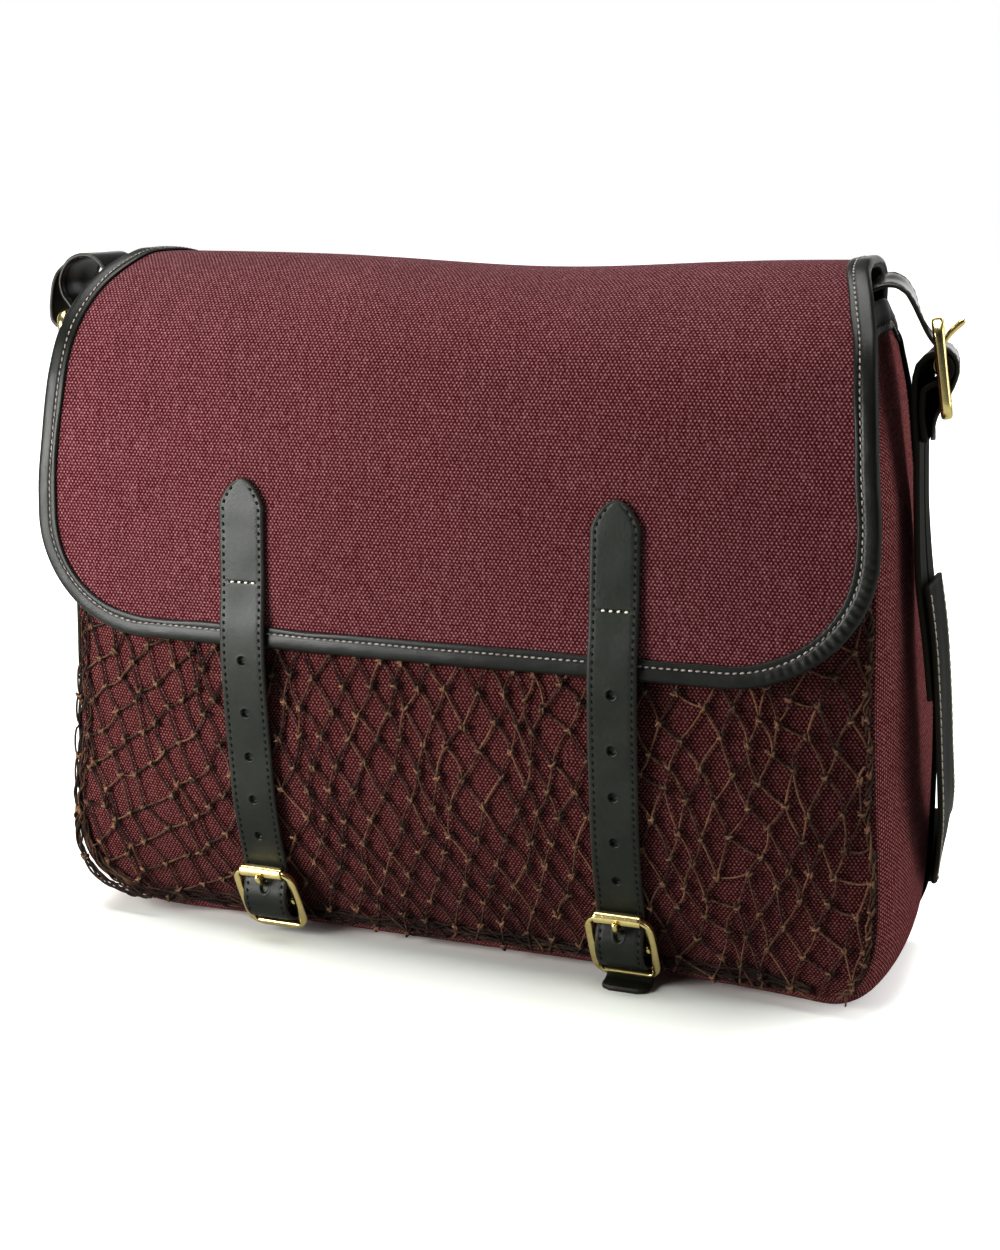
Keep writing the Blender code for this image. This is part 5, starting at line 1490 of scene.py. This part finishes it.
    def loops(self, shape: Shape) -> None:
        """Add the meshes that wrap round the left side and the lower left corner, seen edge on."""
        rng = np.random.default_rng(self.seed + 5)
        turn = self.body.seam(False, 142.0)[:, None]
        path = Path(np.concatenate([turn[:150, 0], turn[150:152, 0]]))
        starts = np.concatenate([np.arange(0.0, 118.0, 14.2), np.arange(7.5, 118.0, 15.1)])
        starts = starts + rng.normal(0, 1.6, len(starts))
        t = np.linspace(0, 1, 10)
        s = starts[:, None] + t[None] * rng.uniform(13.0, 18.5, (len(starts), 1))
        here = path.at(s.ravel()).reshape(*s.shape, 2)
        along = path.along(s.ravel()).reshape(*s.shape, 2)
        outward = np.stack([along[..., 1], -along[..., 0]], -1)
        reach = rng.uniform(1.2, 3.6, (len(starts), 1)) * np.sin(t * math.pi)[None] ** 0.55 + 0.5
        flat = here + outward * reach[..., None]
        depth = (self.body.front_side_y(flat[..., 1]) - 0.8 + rng.uniform(-1.0, 3.4, (len(starts), 1))
                 + 1.5 * np.sin(t * math.pi)[None])
        lines = np.stack([flat[..., 0], depth, flat[..., 1]], -1)
        shape.cords(self.round_off(lines, 0.52), distances(lines), rng.uniform(-0.8, 0.0, len(lines)))
        self.knots(shape, lines[::2, 0] + (0.3, -0.3, 0.0), rng)
        s = np.linspace(8.0, 158.0, 60)
        side = path.along(s)
        reach = np.interp(s, [8.0, 70.0, 105.0, 128.0, 158.0], [0.2, 0.4, 1.4, 0.6, -2.6])
        edge = path.at(s) + np.stack([side[:, 1], -side[:, 0]], -1) * reach[:, None]
        line = np.column_stack([edge[:, 0], self.body.front_side_y(edge[:, 1]) + 1.0, edge[:, 1]])
        self.rope(shape, line, 0.55, 30.0, 6, 71, 1.5, -0.6)

    def build(self) -> None:
        """Make the net as one piece."""
        shape = Shape()
        self.mesh(shape)
        self.edges(shape)
        self.loops(shape)
        shape.stand("net_pocket", self.cord, Slot.CORD)


# Buckles


def rounded(width: float, height: float, radius: float, bow: float, steps: int = 12, straight: int = 9) -> Array:
    """Give a rounded rectangle going round, with the same number of points whatever its size.

    Each corner is a quarter circle; the upright sides bow outward by bow (1 - (2y / height)^2).
    """
    rows = []
    for cx, cy, start in ((1, 1, 0), (-1, 1, 90), (-1, -1, 180), (1, -1, 270)):
        a = np.radians(start + 90 * np.linspace(0, 1, steps))
        rows.append(np.column_stack([cx * (width / 2 - radius) + radius * np.cos(a),
                                     cy * (height / 2 - radius) + radius * np.sin(a)]))
    loop = []
    t = np.linspace(0, 1, straight + 2)[1:-1, None]
    for k, row in enumerate(rows):
        after = rows[(k + 1) % 4][0]
        loop += [row, row[-1] * (1 - t) + after * t]
    points = np.concatenate(loop)
    points[:, 0] += np.sign(points[:, 0]) * bow * (1 - (2 * points[:, 1] / height) ** 2)
    return points


@dataclass
class Buckle:
    """A cast frame with a centre bar, and the prong that turns on it."""

    outer: tuple[float, float]
    inner: float
    bar: float
    thick: float
    corner: float
    bow: float
    top: tuple[float, float]
    bottom: tuple[float, float]

    def point(self, q: Any, n: Any) -> Array:
        """Give flat points q up from the centre bar and n out from the plane."""
        top, bottom = np.array(self.top), np.array(self.bottom)
        up = unit(top - bottom)
        out = np.array([up[1], -up[0]]) * np.sign(top[0])
        q, n = np.asarray(q, float)[..., None], np.asarray(n, float)[..., None]
        return (top + bottom) / 2 + q * up + n * out

    def frame(self, place: Callable[[Array], Array], width: Array) -> Shape:
        """Make the frame as a ring whose section is a superellipse between its inner and outer edge.

        Args:
            place: turns flat points into space.
            width: direction across the strap.
        """
        shape = Shape()
        full = rounded(*self.outer, self.corner, self.bow)
        gap = rounded(self.inner, self.outer[1] - 2 * self.bar, 1.6, 0.0)
        middle, half = (full + gap) / 2, (full - gap) / 2
        turns = np.linspace(0, 2 * math.pi, 20, endpoint=False)
        c = np.sign(np.cos(turns)) * np.abs(np.cos(turns)) ** 0.72
        s = np.sign(np.sin(turns)) * np.abs(np.sin(turns)) ** 0.72
        flat = middle[:, None] + half[:, None] * c[None, :, None]
        depth = np.tile(self.thick / 2 * s[None], (len(flat), 1))
        points = place(self.point(flat[..., 1], depth)) + flat[..., :1] * width
        around = np.append(distances(full), 140.0)
        shape.tube(points, around[:len(points) + 1], np.arange(21) * 0.7, 0.0, ring=True)
        x = np.linspace(-self.inner / 2 - 1.2, self.inner / 2 + 1.2, 14)
        r = self.bar / 2 * (1 - 0.06 * np.cos(np.linspace(-1, 1, 14) * math.pi / 2))
        points = (place(self.point(r[:, None] * c[None], r[:, None] * s[None] * self.thick / self.bar))
                  + x[:, None, None] * width)
        return shape.tube(points, x, np.arange(21) * 0.6)

    def prong(self, ring: float, radius: float, rows: Rows, width: Array, place: Callable[[Array], Array]) -> Shape:
        """Make the prong: a wire bent round the centre bar and running on to its tip.

        Args:
            ring: radius of the bend.
            radius: half the wire's thickness in the bend.
            rows: up, out and radius along the shaft.
            width: direction across the strap.
            place: turns flat points into space.
        """
        a = np.radians([15, 50, 85, 120, 155, 190, 225, 260, 290])
        table = np.concatenate([np.column_stack([ring * np.cos(a), ring * np.sin(a), np.full(len(a), radius)]),
                                np.array(rows)])
        path = Path(place(self.point(table[:, 0], table[:, 1])))
        taper = 1.4
        s = np.concatenate([np.linspace(0, path.length - taper, 56),
                            path.length - taper * (1 - np.sin(np.radians(np.linspace(12, 90, 8))))])
        r = np.interp(s, path.stations, table[:, 2])
        last = np.clip((s - path.length + taper) / (taper + 0.05), 0, 1)
        r = np.where(last > 0, np.maximum(r, table[-2, 2] * 0.9) * np.sqrt(1 - last ** 2 * 0.96), r)
        here, along = path.at(s), path.along(s)
        points = here[:, None] + r[:, None, None] * spokes(along, width, 14)
        return Shape().tube(points, s, np.arange(15) * 0.5)


def slotted(band: Band, stations: Array, half: float, start: float, end: float, slot: float) -> Shape:
    """Make a folded chape: a flat strip with softened edges and a long hole for the prong.

    Args:
        band: the strip.
        stations: places along it.
        half: half its width.
        start: where the hole begins.
        end: where it ends.
        slot: half the hole's width.

    Returns:
        The strip's shape.
    """
    side = np.array([half, half - 0.28, half - 0.9])
    inner = np.linspace(slot + 0.6, half - 2.0, 8)[::-1]
    right = np.concatenate([side, inner, [slot + 0.3, slot]])
    q = np.concatenate([-right, [-slot * 0.4, slot * 0.4], right[::-1]])
    s = np.unique(np.concatenate([stations[(np.abs(stations - start) > 0.3) & (np.abs(stations - end) > 0.3)],
                                  [start, end]]))
    soft = np.interp(np.abs(q), [0, slot, slot + 0.3, slot + 0.31, half - 0.9, half - 0.28, half],
                     [0, 0.22, 0.03, 0.0, 0.0, 0.10, 0.42])
    here, width, out = band.frame(s)
    t = band.thickness
    base = here[:, None] + q[None, :, None] * width[:, None]
    outer = base + (t / 2 - soft * t)[None, :, None] * out[:, None]
    inner_face = base - (t / 2 - soft * t)[None, :, None] * out[:, None]
    uv = np.stack(np.meshgrid(s, q, indexing="ij"), -1)
    keep = ~((s[:-1, None] >= start - 0.01) & (s[1:, None] <= end + 0.01)
             & (np.abs(q[:-1] + q[1:])[None] / 2 < slot))
    edge = np.tile(np.interp(np.abs(q), [half - 0.5, half - 0.2], [0.0, 0.9])[None], (len(s), 1))
    return Shape().wall(outer, inner_face, uv, keep, edge, edge)


# Flap straps


@dataclass
class FlapStraps:
    """The two punched straps on the flap and the roller buckles that hold them."""

    leather: Material
    brass: Material
    thread: Material
    pale: Material
    roller: float = 3.2
    spacing: float = 19.2
    prong_hole: tuple[float, float] = (10.6, 2.1)
    seam: float = 2.5
    tie_end: float = 8.2

    def __post_init__(self) -> None:
        """Set up the buckle in side view."""
        self.buckle = Buckle((33.6, 42.2), 25.8, 3.8, 3.8, 9.0, 0.9, (-80.0, 41.0), (-61.5, 7.4))
        self.width = np.array([1.0, 0.0, 0.0])

    def place(self, side: Side) -> Callable[[Array], Array]:
        """Give the function that turns side-view points into space at one strap."""
        x = FLAP_STRAP_X[side]
        return lambda p: np.stack([np.full(p.shape[:-1], x), p[..., 0], p[..., 1]], axis=-1)

    def strap(self, side: Side) -> None:
        """Make one strap with its rounded point, holes, stitches and the leather's bend in the buckle."""
        place = self.place(side)
        rows = np.array(STRAP_IN_BUCKLE)
        route = np.concatenate([STRAP_PROFILE, self.buckle.point(rows[:, 0], rows[:, 1]), STRAP_TAILS[side]])
        path = Path(place(route))
        half = FLAP_STRAP_WIDTH / 2
        tip = graph([(0.0, 1.0), (0.7, 2.9), (2.0, 4.9), (4.0, 7.0), (7.0, 9.2), (10.5, 11.0), (14.0, 12.1),
                     (17.0, half), (path.length - 5.0, half), (path.length - 2.0, half - 0.8), (path.length, half - 4)])
        holes = [path.nearest((FLAP_STRAP_X[side], float(graph([r[::-1] for r in STRAP_PROFILE])(z)), z))
                 for z in STRAP_HOLES_Z]
        prong = path.nearest(place(self.buckle.point(*self.prong_hole)))
        cross = path.nearest((FLAP_STRAP_X[side], -93.2, CROSS_STITCH_Z))
        inset = half - self.seam

        def relief(s: Array, q: Array) -> Array:
            """Give the stitch grooves, punched holes, wear waves and the crown of the strap."""
            line = np.minimum(tip(s) - self.seam, inset)
            total = groove(q, np.maximum(line, 0.0), 0.14, 0.8) * (line > 1.5)
            total = total - 0.22 * bell(s, cross, 0.7) * (np.abs(q) < self.tie_end)
            total = total - 0.35 * np.clip(np.abs(q) - (half - 1.9), 0, 2) ** 2 / 3.6
            total = total + 0.10 * ripple(s / 26.0, q / 30.0, 61)
            for centre in holes:
                total = total + dimple(s, q, centre, 2.05, 2.2)
            return total + dimple(s, q, prong, 2.1, 1.6, 1.7)

        s = [np.arange(0, 20, 0.6), np.arange(20, path.length, 1.5), [path.length]]
        s += [np.arange(h - 3.6, h + 3.7, 0.4) for h in holes] + [np.arange(prong - 5, prong + 5.1, 0.5)]
        s += [np.arange(cross - 1.8, cross + 1.9, 0.45)]
        s = np.unique(np.round(np.clip(np.concatenate(s), 0, path.length), 2))
        s = s[np.concatenate([[True], np.diff(s) > 0.12])]
        band = Band(path, steady((1, 0, 0)), tip, LEATHER, relief=relief, across=43, fine=1.45)
        band.skin(s).stand(f"front_strap_{side.value}", self.leather)
        sewing = Shape()
        stop = path.nearest(place(self.buckle.point(-4.0, 7.4)))
        for sign in (-1.0, 1.0):
            along = np.linspace(3.4, stop, 400)
            line = np.minimum(tip(along) - self.seam, inset)
            keep = line > 0.6
            band.row(sewing, along[keep], sign * line[keep], 3.7, length=1.7, radius=0.62, sink=0.05)
        tie = Shape()
        for shape, start, length, lift in ((sewing, -7.9, 1.2, 0.05), (tie, -6.5, 1.9, 0.12)):
            q = np.linspace(start, self.tie_end, 24)
            points, up = band.face_point(np.full(24, cross), q, lift)
            stitch_row(shape, points, up, 3.0, length=length, radius=0.58, sink=0.0)
        sewing.make(f"front_strap_{side.value}_stitches", self.thread, Slot.LEATHER)
        tie.make(f"front_strap_{side.value}_cross_stitch", self.pale, Slot.LEATHER)

    def fittings(self, side: Side) -> None:
        """Make the frame, roller, prong and the folded chape behind."""
        place = self.place(side)
        name = side.value
        self.buckle.frame(place, self.width).stand(f"front_buckle_{name}", self.brass, Slot.BRASS)
        ring = self.buckle.bar / 2 * 1.1 + 0.35 + 1.0
        prong = self.buckle.prong(ring, 1.0, FLAP_PRONG, self.width, place)
        prong.stand(f"front_prong_{name}", self.brass, Slot.BRASS)
        self.make_roller(side)
        self.chape(side)

    def make_roller(self, side: Side) -> None:
        """Roll a brass sheet round the top bar: a wall over a circle that leaves a fine slit."""
        axis = self.place(side)(self.buckle.point(self.spacing, 0.0))
        length = self.buckle.inner / 2 - 1.3
        x = length * np.concatenate([-1 + 0.10 * np.linspace(0, 1, 6) ** 1.6, np.linspace(-0.85, 0.85, 9),
                                     1 - 0.10 * np.linspace(1, 0, 6) ** 1.6])
        end = np.clip((np.abs(x) / length - 0.90) / 0.10, 0, 1)
        r = self.roller - 0.42 * (1 - np.sqrt(1 - end ** 2))
        a = np.radians(np.linspace(262, 262 + 355, 57))
        circle = np.stack([np.zeros(len(a)), np.cos(a), np.sin(a)], -1)
        outer = axis + r[:, None, None] * circle[None] + x[:, None, None] * self.width
        inner = axis + 2.5 * circle[None] + x[:, None, None] * self.width
        uv = np.stack(np.meshgrid(x, a * 3, indexing="ij"), -1)
        Shape().wall(outer, inner, uv).stand(f"front_roller_{side.value}", self.brass, Slot.BRASS)

    def chape(self, side: Side) -> None:
        """Fold the thin leather round the centre bar, slotted for the prong."""
        place, buckle = self.place(side), self.buckle
        wrap = buckle.bar / 2 * 1.1 + 0.45 + THIN_LEATHER / 2
        a = np.radians([-85, -50, -15, 20, 55, 90, 125, 160, 190])
        turn = np.column_stack([wrap * np.cos(a), wrap * np.sin(a)])
        flat = np.concatenate([[(-10.0, -4.7), (-8.0, -4.5), (-4.9, -4.1), (-2.2, -3.8)], turn,
                               [(-5.4, -1.3), (-9.0, -2.2)]])
        path = Path(place(buckle.point(flat[:, 0], flat[:, 1])))
        start, end = (path.nearest(place(buckle.point(*flat[k]))) for k in (2, 13))
        band = Band(path, steady((1, 0, 0)), lambda s: s, THIN_LEATHER, centred=True)
        shape = slotted(band, np.linspace(0, path.length, 60), FLAP_STRAP_WIDTH / 2 - 0.9, start, end, 1.9)
        shape.stand(f"front_chape_{side.value}", self.leather)

    def build(self) -> None:
        """Make both straps and all their fittings."""
        for side in Side:
            self.strap(side)
            self.fittings(side)


# Shoulder strap


@dataclass
class Carry:
    """The shoulder strap with its billets, buckles and chapes."""

    leather: Material
    glossy: Material
    brass: Material
    thread: Material
    pale: Material
    billet_seam: float = 2.9
    strap_seam: float = 2.6
    sewn: float = 330.0

    def __post_init__(self) -> None:
        """Set up the two side buckles in front view."""
        sizes = ((50.0, 45.3), 40.0, 4.0, 5.1, 8.0, 0.8)
        self.buckles = {Side.RIGHT: Buckle(*sizes, (220.7, 321.5), (226.6, 280.8)),
                        Side.LEFT: Buckle(*sizes, (223.0, 315.7), (215.2, 275.3))}
        self.leans = {Side.RIGHT: -0.146, Side.LEFT: 0.0}

    def space(self, side: Side, points: Array, lean: Any) -> Array:
        """Turn (x, z) points of the right side into space for one side, square to a leaning width."""
        points = np.asarray(points, float)
        lean = np.broadcast_to(lean, points.shape[:-1])
        across = points[..., 0] - SHOULDER_X
        return np.stack([side.sign * (SHOULDER_X + across * np.sqrt(1 - lean ** 2)),
                         SHOULDER_Y - np.clip(across, -9.0, 9.0) * lean, points[..., 1]], axis=-1)

    def table(self, rows: Rows) -> Array:
        """Give a table with four columns; lean and rise are 0 where it doesn't have them."""
        data = np.array(rows)
        return np.pad(data, ((0, 0), (0, 4 - data.shape[1])))

    def leaning(self, path: Path, rows: Array, side: Side) -> Callable[[Array], Array]:
        """Make the width line that follows the lean and rise given with each point of a table."""

        def width(s: Array) -> Array:
            """Interpolate the table."""
            lean, rise = resample(path.stations, rows[:, 2:], s).T
            return unit(np.column_stack([side.sign * lean, np.sqrt(1 - lean ** 2), rise]))

        return width

    def billet(self, side: Side) -> None:
        """Make the strap end on the bag that comes up, over and down through its buckle."""
        rows = self.table(BILLETS[side])
        path = Path(self.space(side, rows[:, :2], rows[:, 2]))
        half = SHOULDER_WIDTH / 2 - 1
        length = path.length
        shape_at = graph([(0.0, half), (length - 14, half), (length - 9, half * 0.95), (length - 5, half * 0.82),
                          (length - 2, half * 0.62), (length - 0.6, half * 0.42), (length, half * 0.26)])

        def relief(s: Array, q: Array) -> Array:
            """Give the stitch grooves, small waves and the softened edges."""
            line = shape_at(s) - self.billet_seam
            return (groove(q, line, 0.26, 0.8) + 0.14 * ripple(s / 22.0, q / 24.0, 71)
                    - 0.3 * np.clip(np.abs(q) - (shape_at(s) - 1.6), 0, 2) ** 2 / 2.6)

        s = np.unique(np.round(np.concatenate([np.arange(0, length - 14, 1.3), np.arange(length - 14, length, 0.5),
                                               [length]]), 2))
        band = Band(path, self.leaning(path, rows, side), shape_at, BILLET_LEATHER, centred=True, relief=relief,
                    across=31)
        name = f"side_billet_{side.value}"
        band.skin(s).stand(name, self.glossy)
        sewing = Shape()
        for sign in (-1.0, 1.0):
            along = np.linspace(34.0, length - 5.0, 300)
            band.row(sewing, along, sign * (shape_at(along) - self.billet_seam), 3.9, length=2.5, radius=0.42)
        sewing.make(f"{name}_stitches", self.thread, Slot.LEATHER)

    def chape(self, side: Side) -> None:
        """Fold the leather round the side buckle's centre bar, slotted for the prong; its lower end lies under the
        shoulder strap's sewn end.
        """
        rows = self.table(CHAPES[side])
        path = Path(self.space(side, rows[:, :2], rows[:, 2]))
        lean = self.leans[side]
        start, end = (path.nearest(self.space(side, np.array(p), lean)) for p in CHAPE_SLOTS[side])
        band = Band(path, self.leaning(path, rows, side), lambda s: s, CHAPE_LEATHER, centred=True)
        shape = slotted(band, np.arange(0, path.length, 1.6), SHOULDER_WIDTH / 2, start, end, 2.2)
        shape.stand(f"side_chape_{side.value}", self.leather)

    def strap(self) -> None:
        """Make the long strap: down from one chape, across the floor behind the bag, up to the other."""
        right = np.array(STRAP_ROUTE)
        left = right.copy()
        left[:len(LEFT_STRAP_X), 0] = LEFT_STRAP_X
        left *= (-1, 1, 1, -1, 1, 1)
        whole = np.concatenate([right, left[-2::-1]])
        path = Path(whole[:, :3])

        def width(s: Array) -> Array:
            """Interpolate the table's directions."""
            return unit(resample(path.stations, whole[:, 3:], s))

        half = SHOULDER_WIDTH / 2

        def relief(s: Array, q: Array) -> Array:
            """Give the creased line inside each edge and slow waves."""
            return groove(q, half - self.strap_seam, 0.22, 0.7) + 0.12 * ripple(s / 40.0, q / 30.0, 81)

        band = Band(path, width, lambda s: np.full(len(s), half), STRAP_LEATHER, centred=True, relief=relief,
                    across=21, floor=0.05)
        band.skin(np.linspace(0, path.length, 420)).stand("shoulder_strap", self.leather)
        sewing = Shape()
        for sign in (-1.0, 1.0):
            for a, b in ((4.0, self.sewn), (path.length - self.sewn, path.length - 4.0)):
                along = np.linspace(a, b, 500)
                band.row(sewing, along, np.full(500, sign * (half - self.strap_seam)), 4.1, length=3.8, radius=0.66)
        sewing.make("shoulder_strap_stitches", self.pale, Slot.LEATHER)

    def build(self) -> None:
        """Make the strap and the fittings of both sides."""
        for side in Side:
            self.billet(side)
            self.chape(side)
            buckle, lean, name = self.buckles[side], self.leans[side], side.value
            width = np.array([side.sign * lean, math.sqrt(1 - lean ** 2), 0.0])

            def place(points: Array, side: Side = side, lean: float = lean) -> Array:
                """Turn the buckle's flat points into space."""
                return self.space(side, points, lean)

            buckle.frame(place, width).stand(f"side_buckle_{name}", self.brass, Slot.BRASS)
            ring = buckle.bar / 2 * 1.15 + 0.3 + 1.1
            prong = buckle.prong(ring, 1.1, SIDE_PRONGS[side], width, place)
            prong.stand(f"side_prong_{name}", self.brass, Slot.BRASS)
        self.strap()


# Studio


@dataclass
class Studio:
    """Floor, backdrop light, lamps and camera."""

    lens: float = 57.6
    place: Triple = (0.3586, -0.936, 0.3818)
    turn: Triple = (77.51, 0.0, 20.8)

    def floor(self) -> None:
        """Lay the pale floor."""
        size = 9.0
        mesh = bpy.data.meshes.new("studio_floor")
        mesh.from_pydata([(-size, -size, 0), (size, -size, 0), (size, size, 0), (-size, size, 0)], [], [(0, 1, 2, 3)])
        mesh.materials.append(Paper().material())
        add("studio_floor", mesh)

    def backdrop(self) -> None:
        """Light from all round: bright low behind, dim elsewhere, and plain white to the camera."""
        m = Recipe("studio_world", world=True)
        x, y, z = m.parts(m.node("ShaderNodeTexCoord", {}, {}).outputs["Generated"])
        left = (0.0 - x).step(-0.3, 1.0)
        behind = (y - x * 0.35).step(0.35, 0.75) * (1.0 - z.step(0.16, 0.45))
        level = 0.02 + left * 0.16 + behind * 1.9 + z.step(0.3, 1.0) * 0.10 + x.step(0.3, 0.9) * 0.10
        m.feed(m.shader.inputs["Color"], m.mix(m.seen(), m.join(level, level, level), (1.0, 1.0, 1.0)))
        bpy.context.scene.world = m.material

    def lamp(self, name: str, place: Triple, aim: Triple, size: float, power: float) -> None:
        """Hang a square softbox."""
        light = bpy.data.lights.new(name, "AREA")
        light.size, light.energy = size, power
        piece = add(name, light)
        piece.visible_camera = False
        direction = np.array(aim) - np.array(place)
        flat = math.hypot(direction[0], direction[1])
        piece.location = place
        piece.rotation_euler = (math.atan2(flat, -direction[2]), 0.0, math.atan2(-direction[0], direction[1]))

    def camera(self) -> None:
        """Stand the camera where the photograph was taken."""
        data = bpy.data.cameras.new("camera")
        data.lens, data.sensor_width, data.sensor_fit = self.lens, 36.0, "AUTO"
        data.clip_start, data.clip_end = 0.01, 50.0
        piece = add("camera", data)
        piece.location = self.place
        piece.rotation_euler = tuple(math.radians(a) for a in self.turn)
        bpy.context.scene.camera = piece

    def build(self) -> None:
        """Set everything up."""
        self.floor()
        self.backdrop()
        self.lamp("key", (-0.48, -0.63, 0.29), (-0.15, 0.0, 0.17), 0.38, 9.4)
        self.lamp("over", (-0.20, 0.05, 2.0), (0.0, 0.0, 0.0), 1.8, 66.0)
        self.lamp("fill", (0.95, 0.12, 0.45), (0.22, 0.03, 0.18), 0.6, 2.8)
        self.camera()
        view = bpy.context.scene.view_settings
        view.view_transform, view.gamma = "Standard", 0.8


def main() -> None:
    """Dress the frame piece by piece."""
    logging.basicConfig(level=logging.INFO)
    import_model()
    Studio().build()
    canvas = Canvas("burgundy_canvas").material()
    # The front panel's canvas is the flap's canvas painted darker: painted shade for the net's shadows and the shade
    # under the flap.
    front_cloth_painted_darker = Canvas("burgundy_front_shaded_cloth", (0.062, 0.0040, 0.0050), (0.270, 0.134, 0.128),
                          sheen=0.02).material()
    # The strip's canvas is the flap's canvas painted lighter: painted light for the light that the sides of the bag
    # don't get from the lamps.
    side_cloth_painted_lighter = Canvas("burgundy_side_cloth_painted_light", (0.170, 0.019, 0.023), (0.74, 0.37, 0.37),
                         sheen=0.0).material()
    leather = Hide("bridle_leather", (0.0098, 0.0116, 0.0078), (0.021, 0.0245, 0.017), gloss=0.43,
                   shine=0.36, grain=0.9).material()
    glossy = Hide("billet_leather", (0.0060, 0.0062, 0.0048), gloss=0.30, shine=0.45).material()
    soft_leather = Hide("binding_leather", (0.0075, 0.0084, 0.0060), (0.017, 0.0185, 0.0135), gloss=0.37, shine=0.30,
                        grain=0.9).material()
    strap_leather = Hide("shoulder_leather", gloss=0.42, shine=0.03).material()
    matt_leather = Hide("gusset_leather", (0.0030, 0.0030, 0.0023), (0.007, 0.007, 0.0055), (0.012, 0.011, 0.009),
                        gloss=0.45, shine=0.015).material()
    brass = Brass("polished_brass").material()
    cord = Twine("net_cord").material()
    dark = Twine("dark_thread", (0.050, 0.036, 0.030), (0.270, 0.215, 0.185), 1.1, share=0.62).material()
    black = Twine("black_thread", (0.004, 0.004, 0.003), (0.022, 0.020, 0.017), 1.1).material()
    taupe = Twine("taupe_thread", (0.130, 0.108, 0.100), (0.500, 0.440, 0.410), 1.1, share=0.68).material()
    pale = Twine("pale_thread", (0.50, 0.44, 0.35), (0.80, 0.74, 0.62), 1.1, share=0.9).material()
    body = Body(front_cloth_painted_darker, side_cloth_painted_lighter, canvas, matt_leather, taupe)
    body.build()
    Flap(canvas, soft_leather, taupe).build()
    Net(body, cord).build()
    FlapStraps(leather, brass, black, pale).build()
    Carry(strap_leather, glossy, brass, dark, pale).build()


if __name__ == "__main__":
    main()
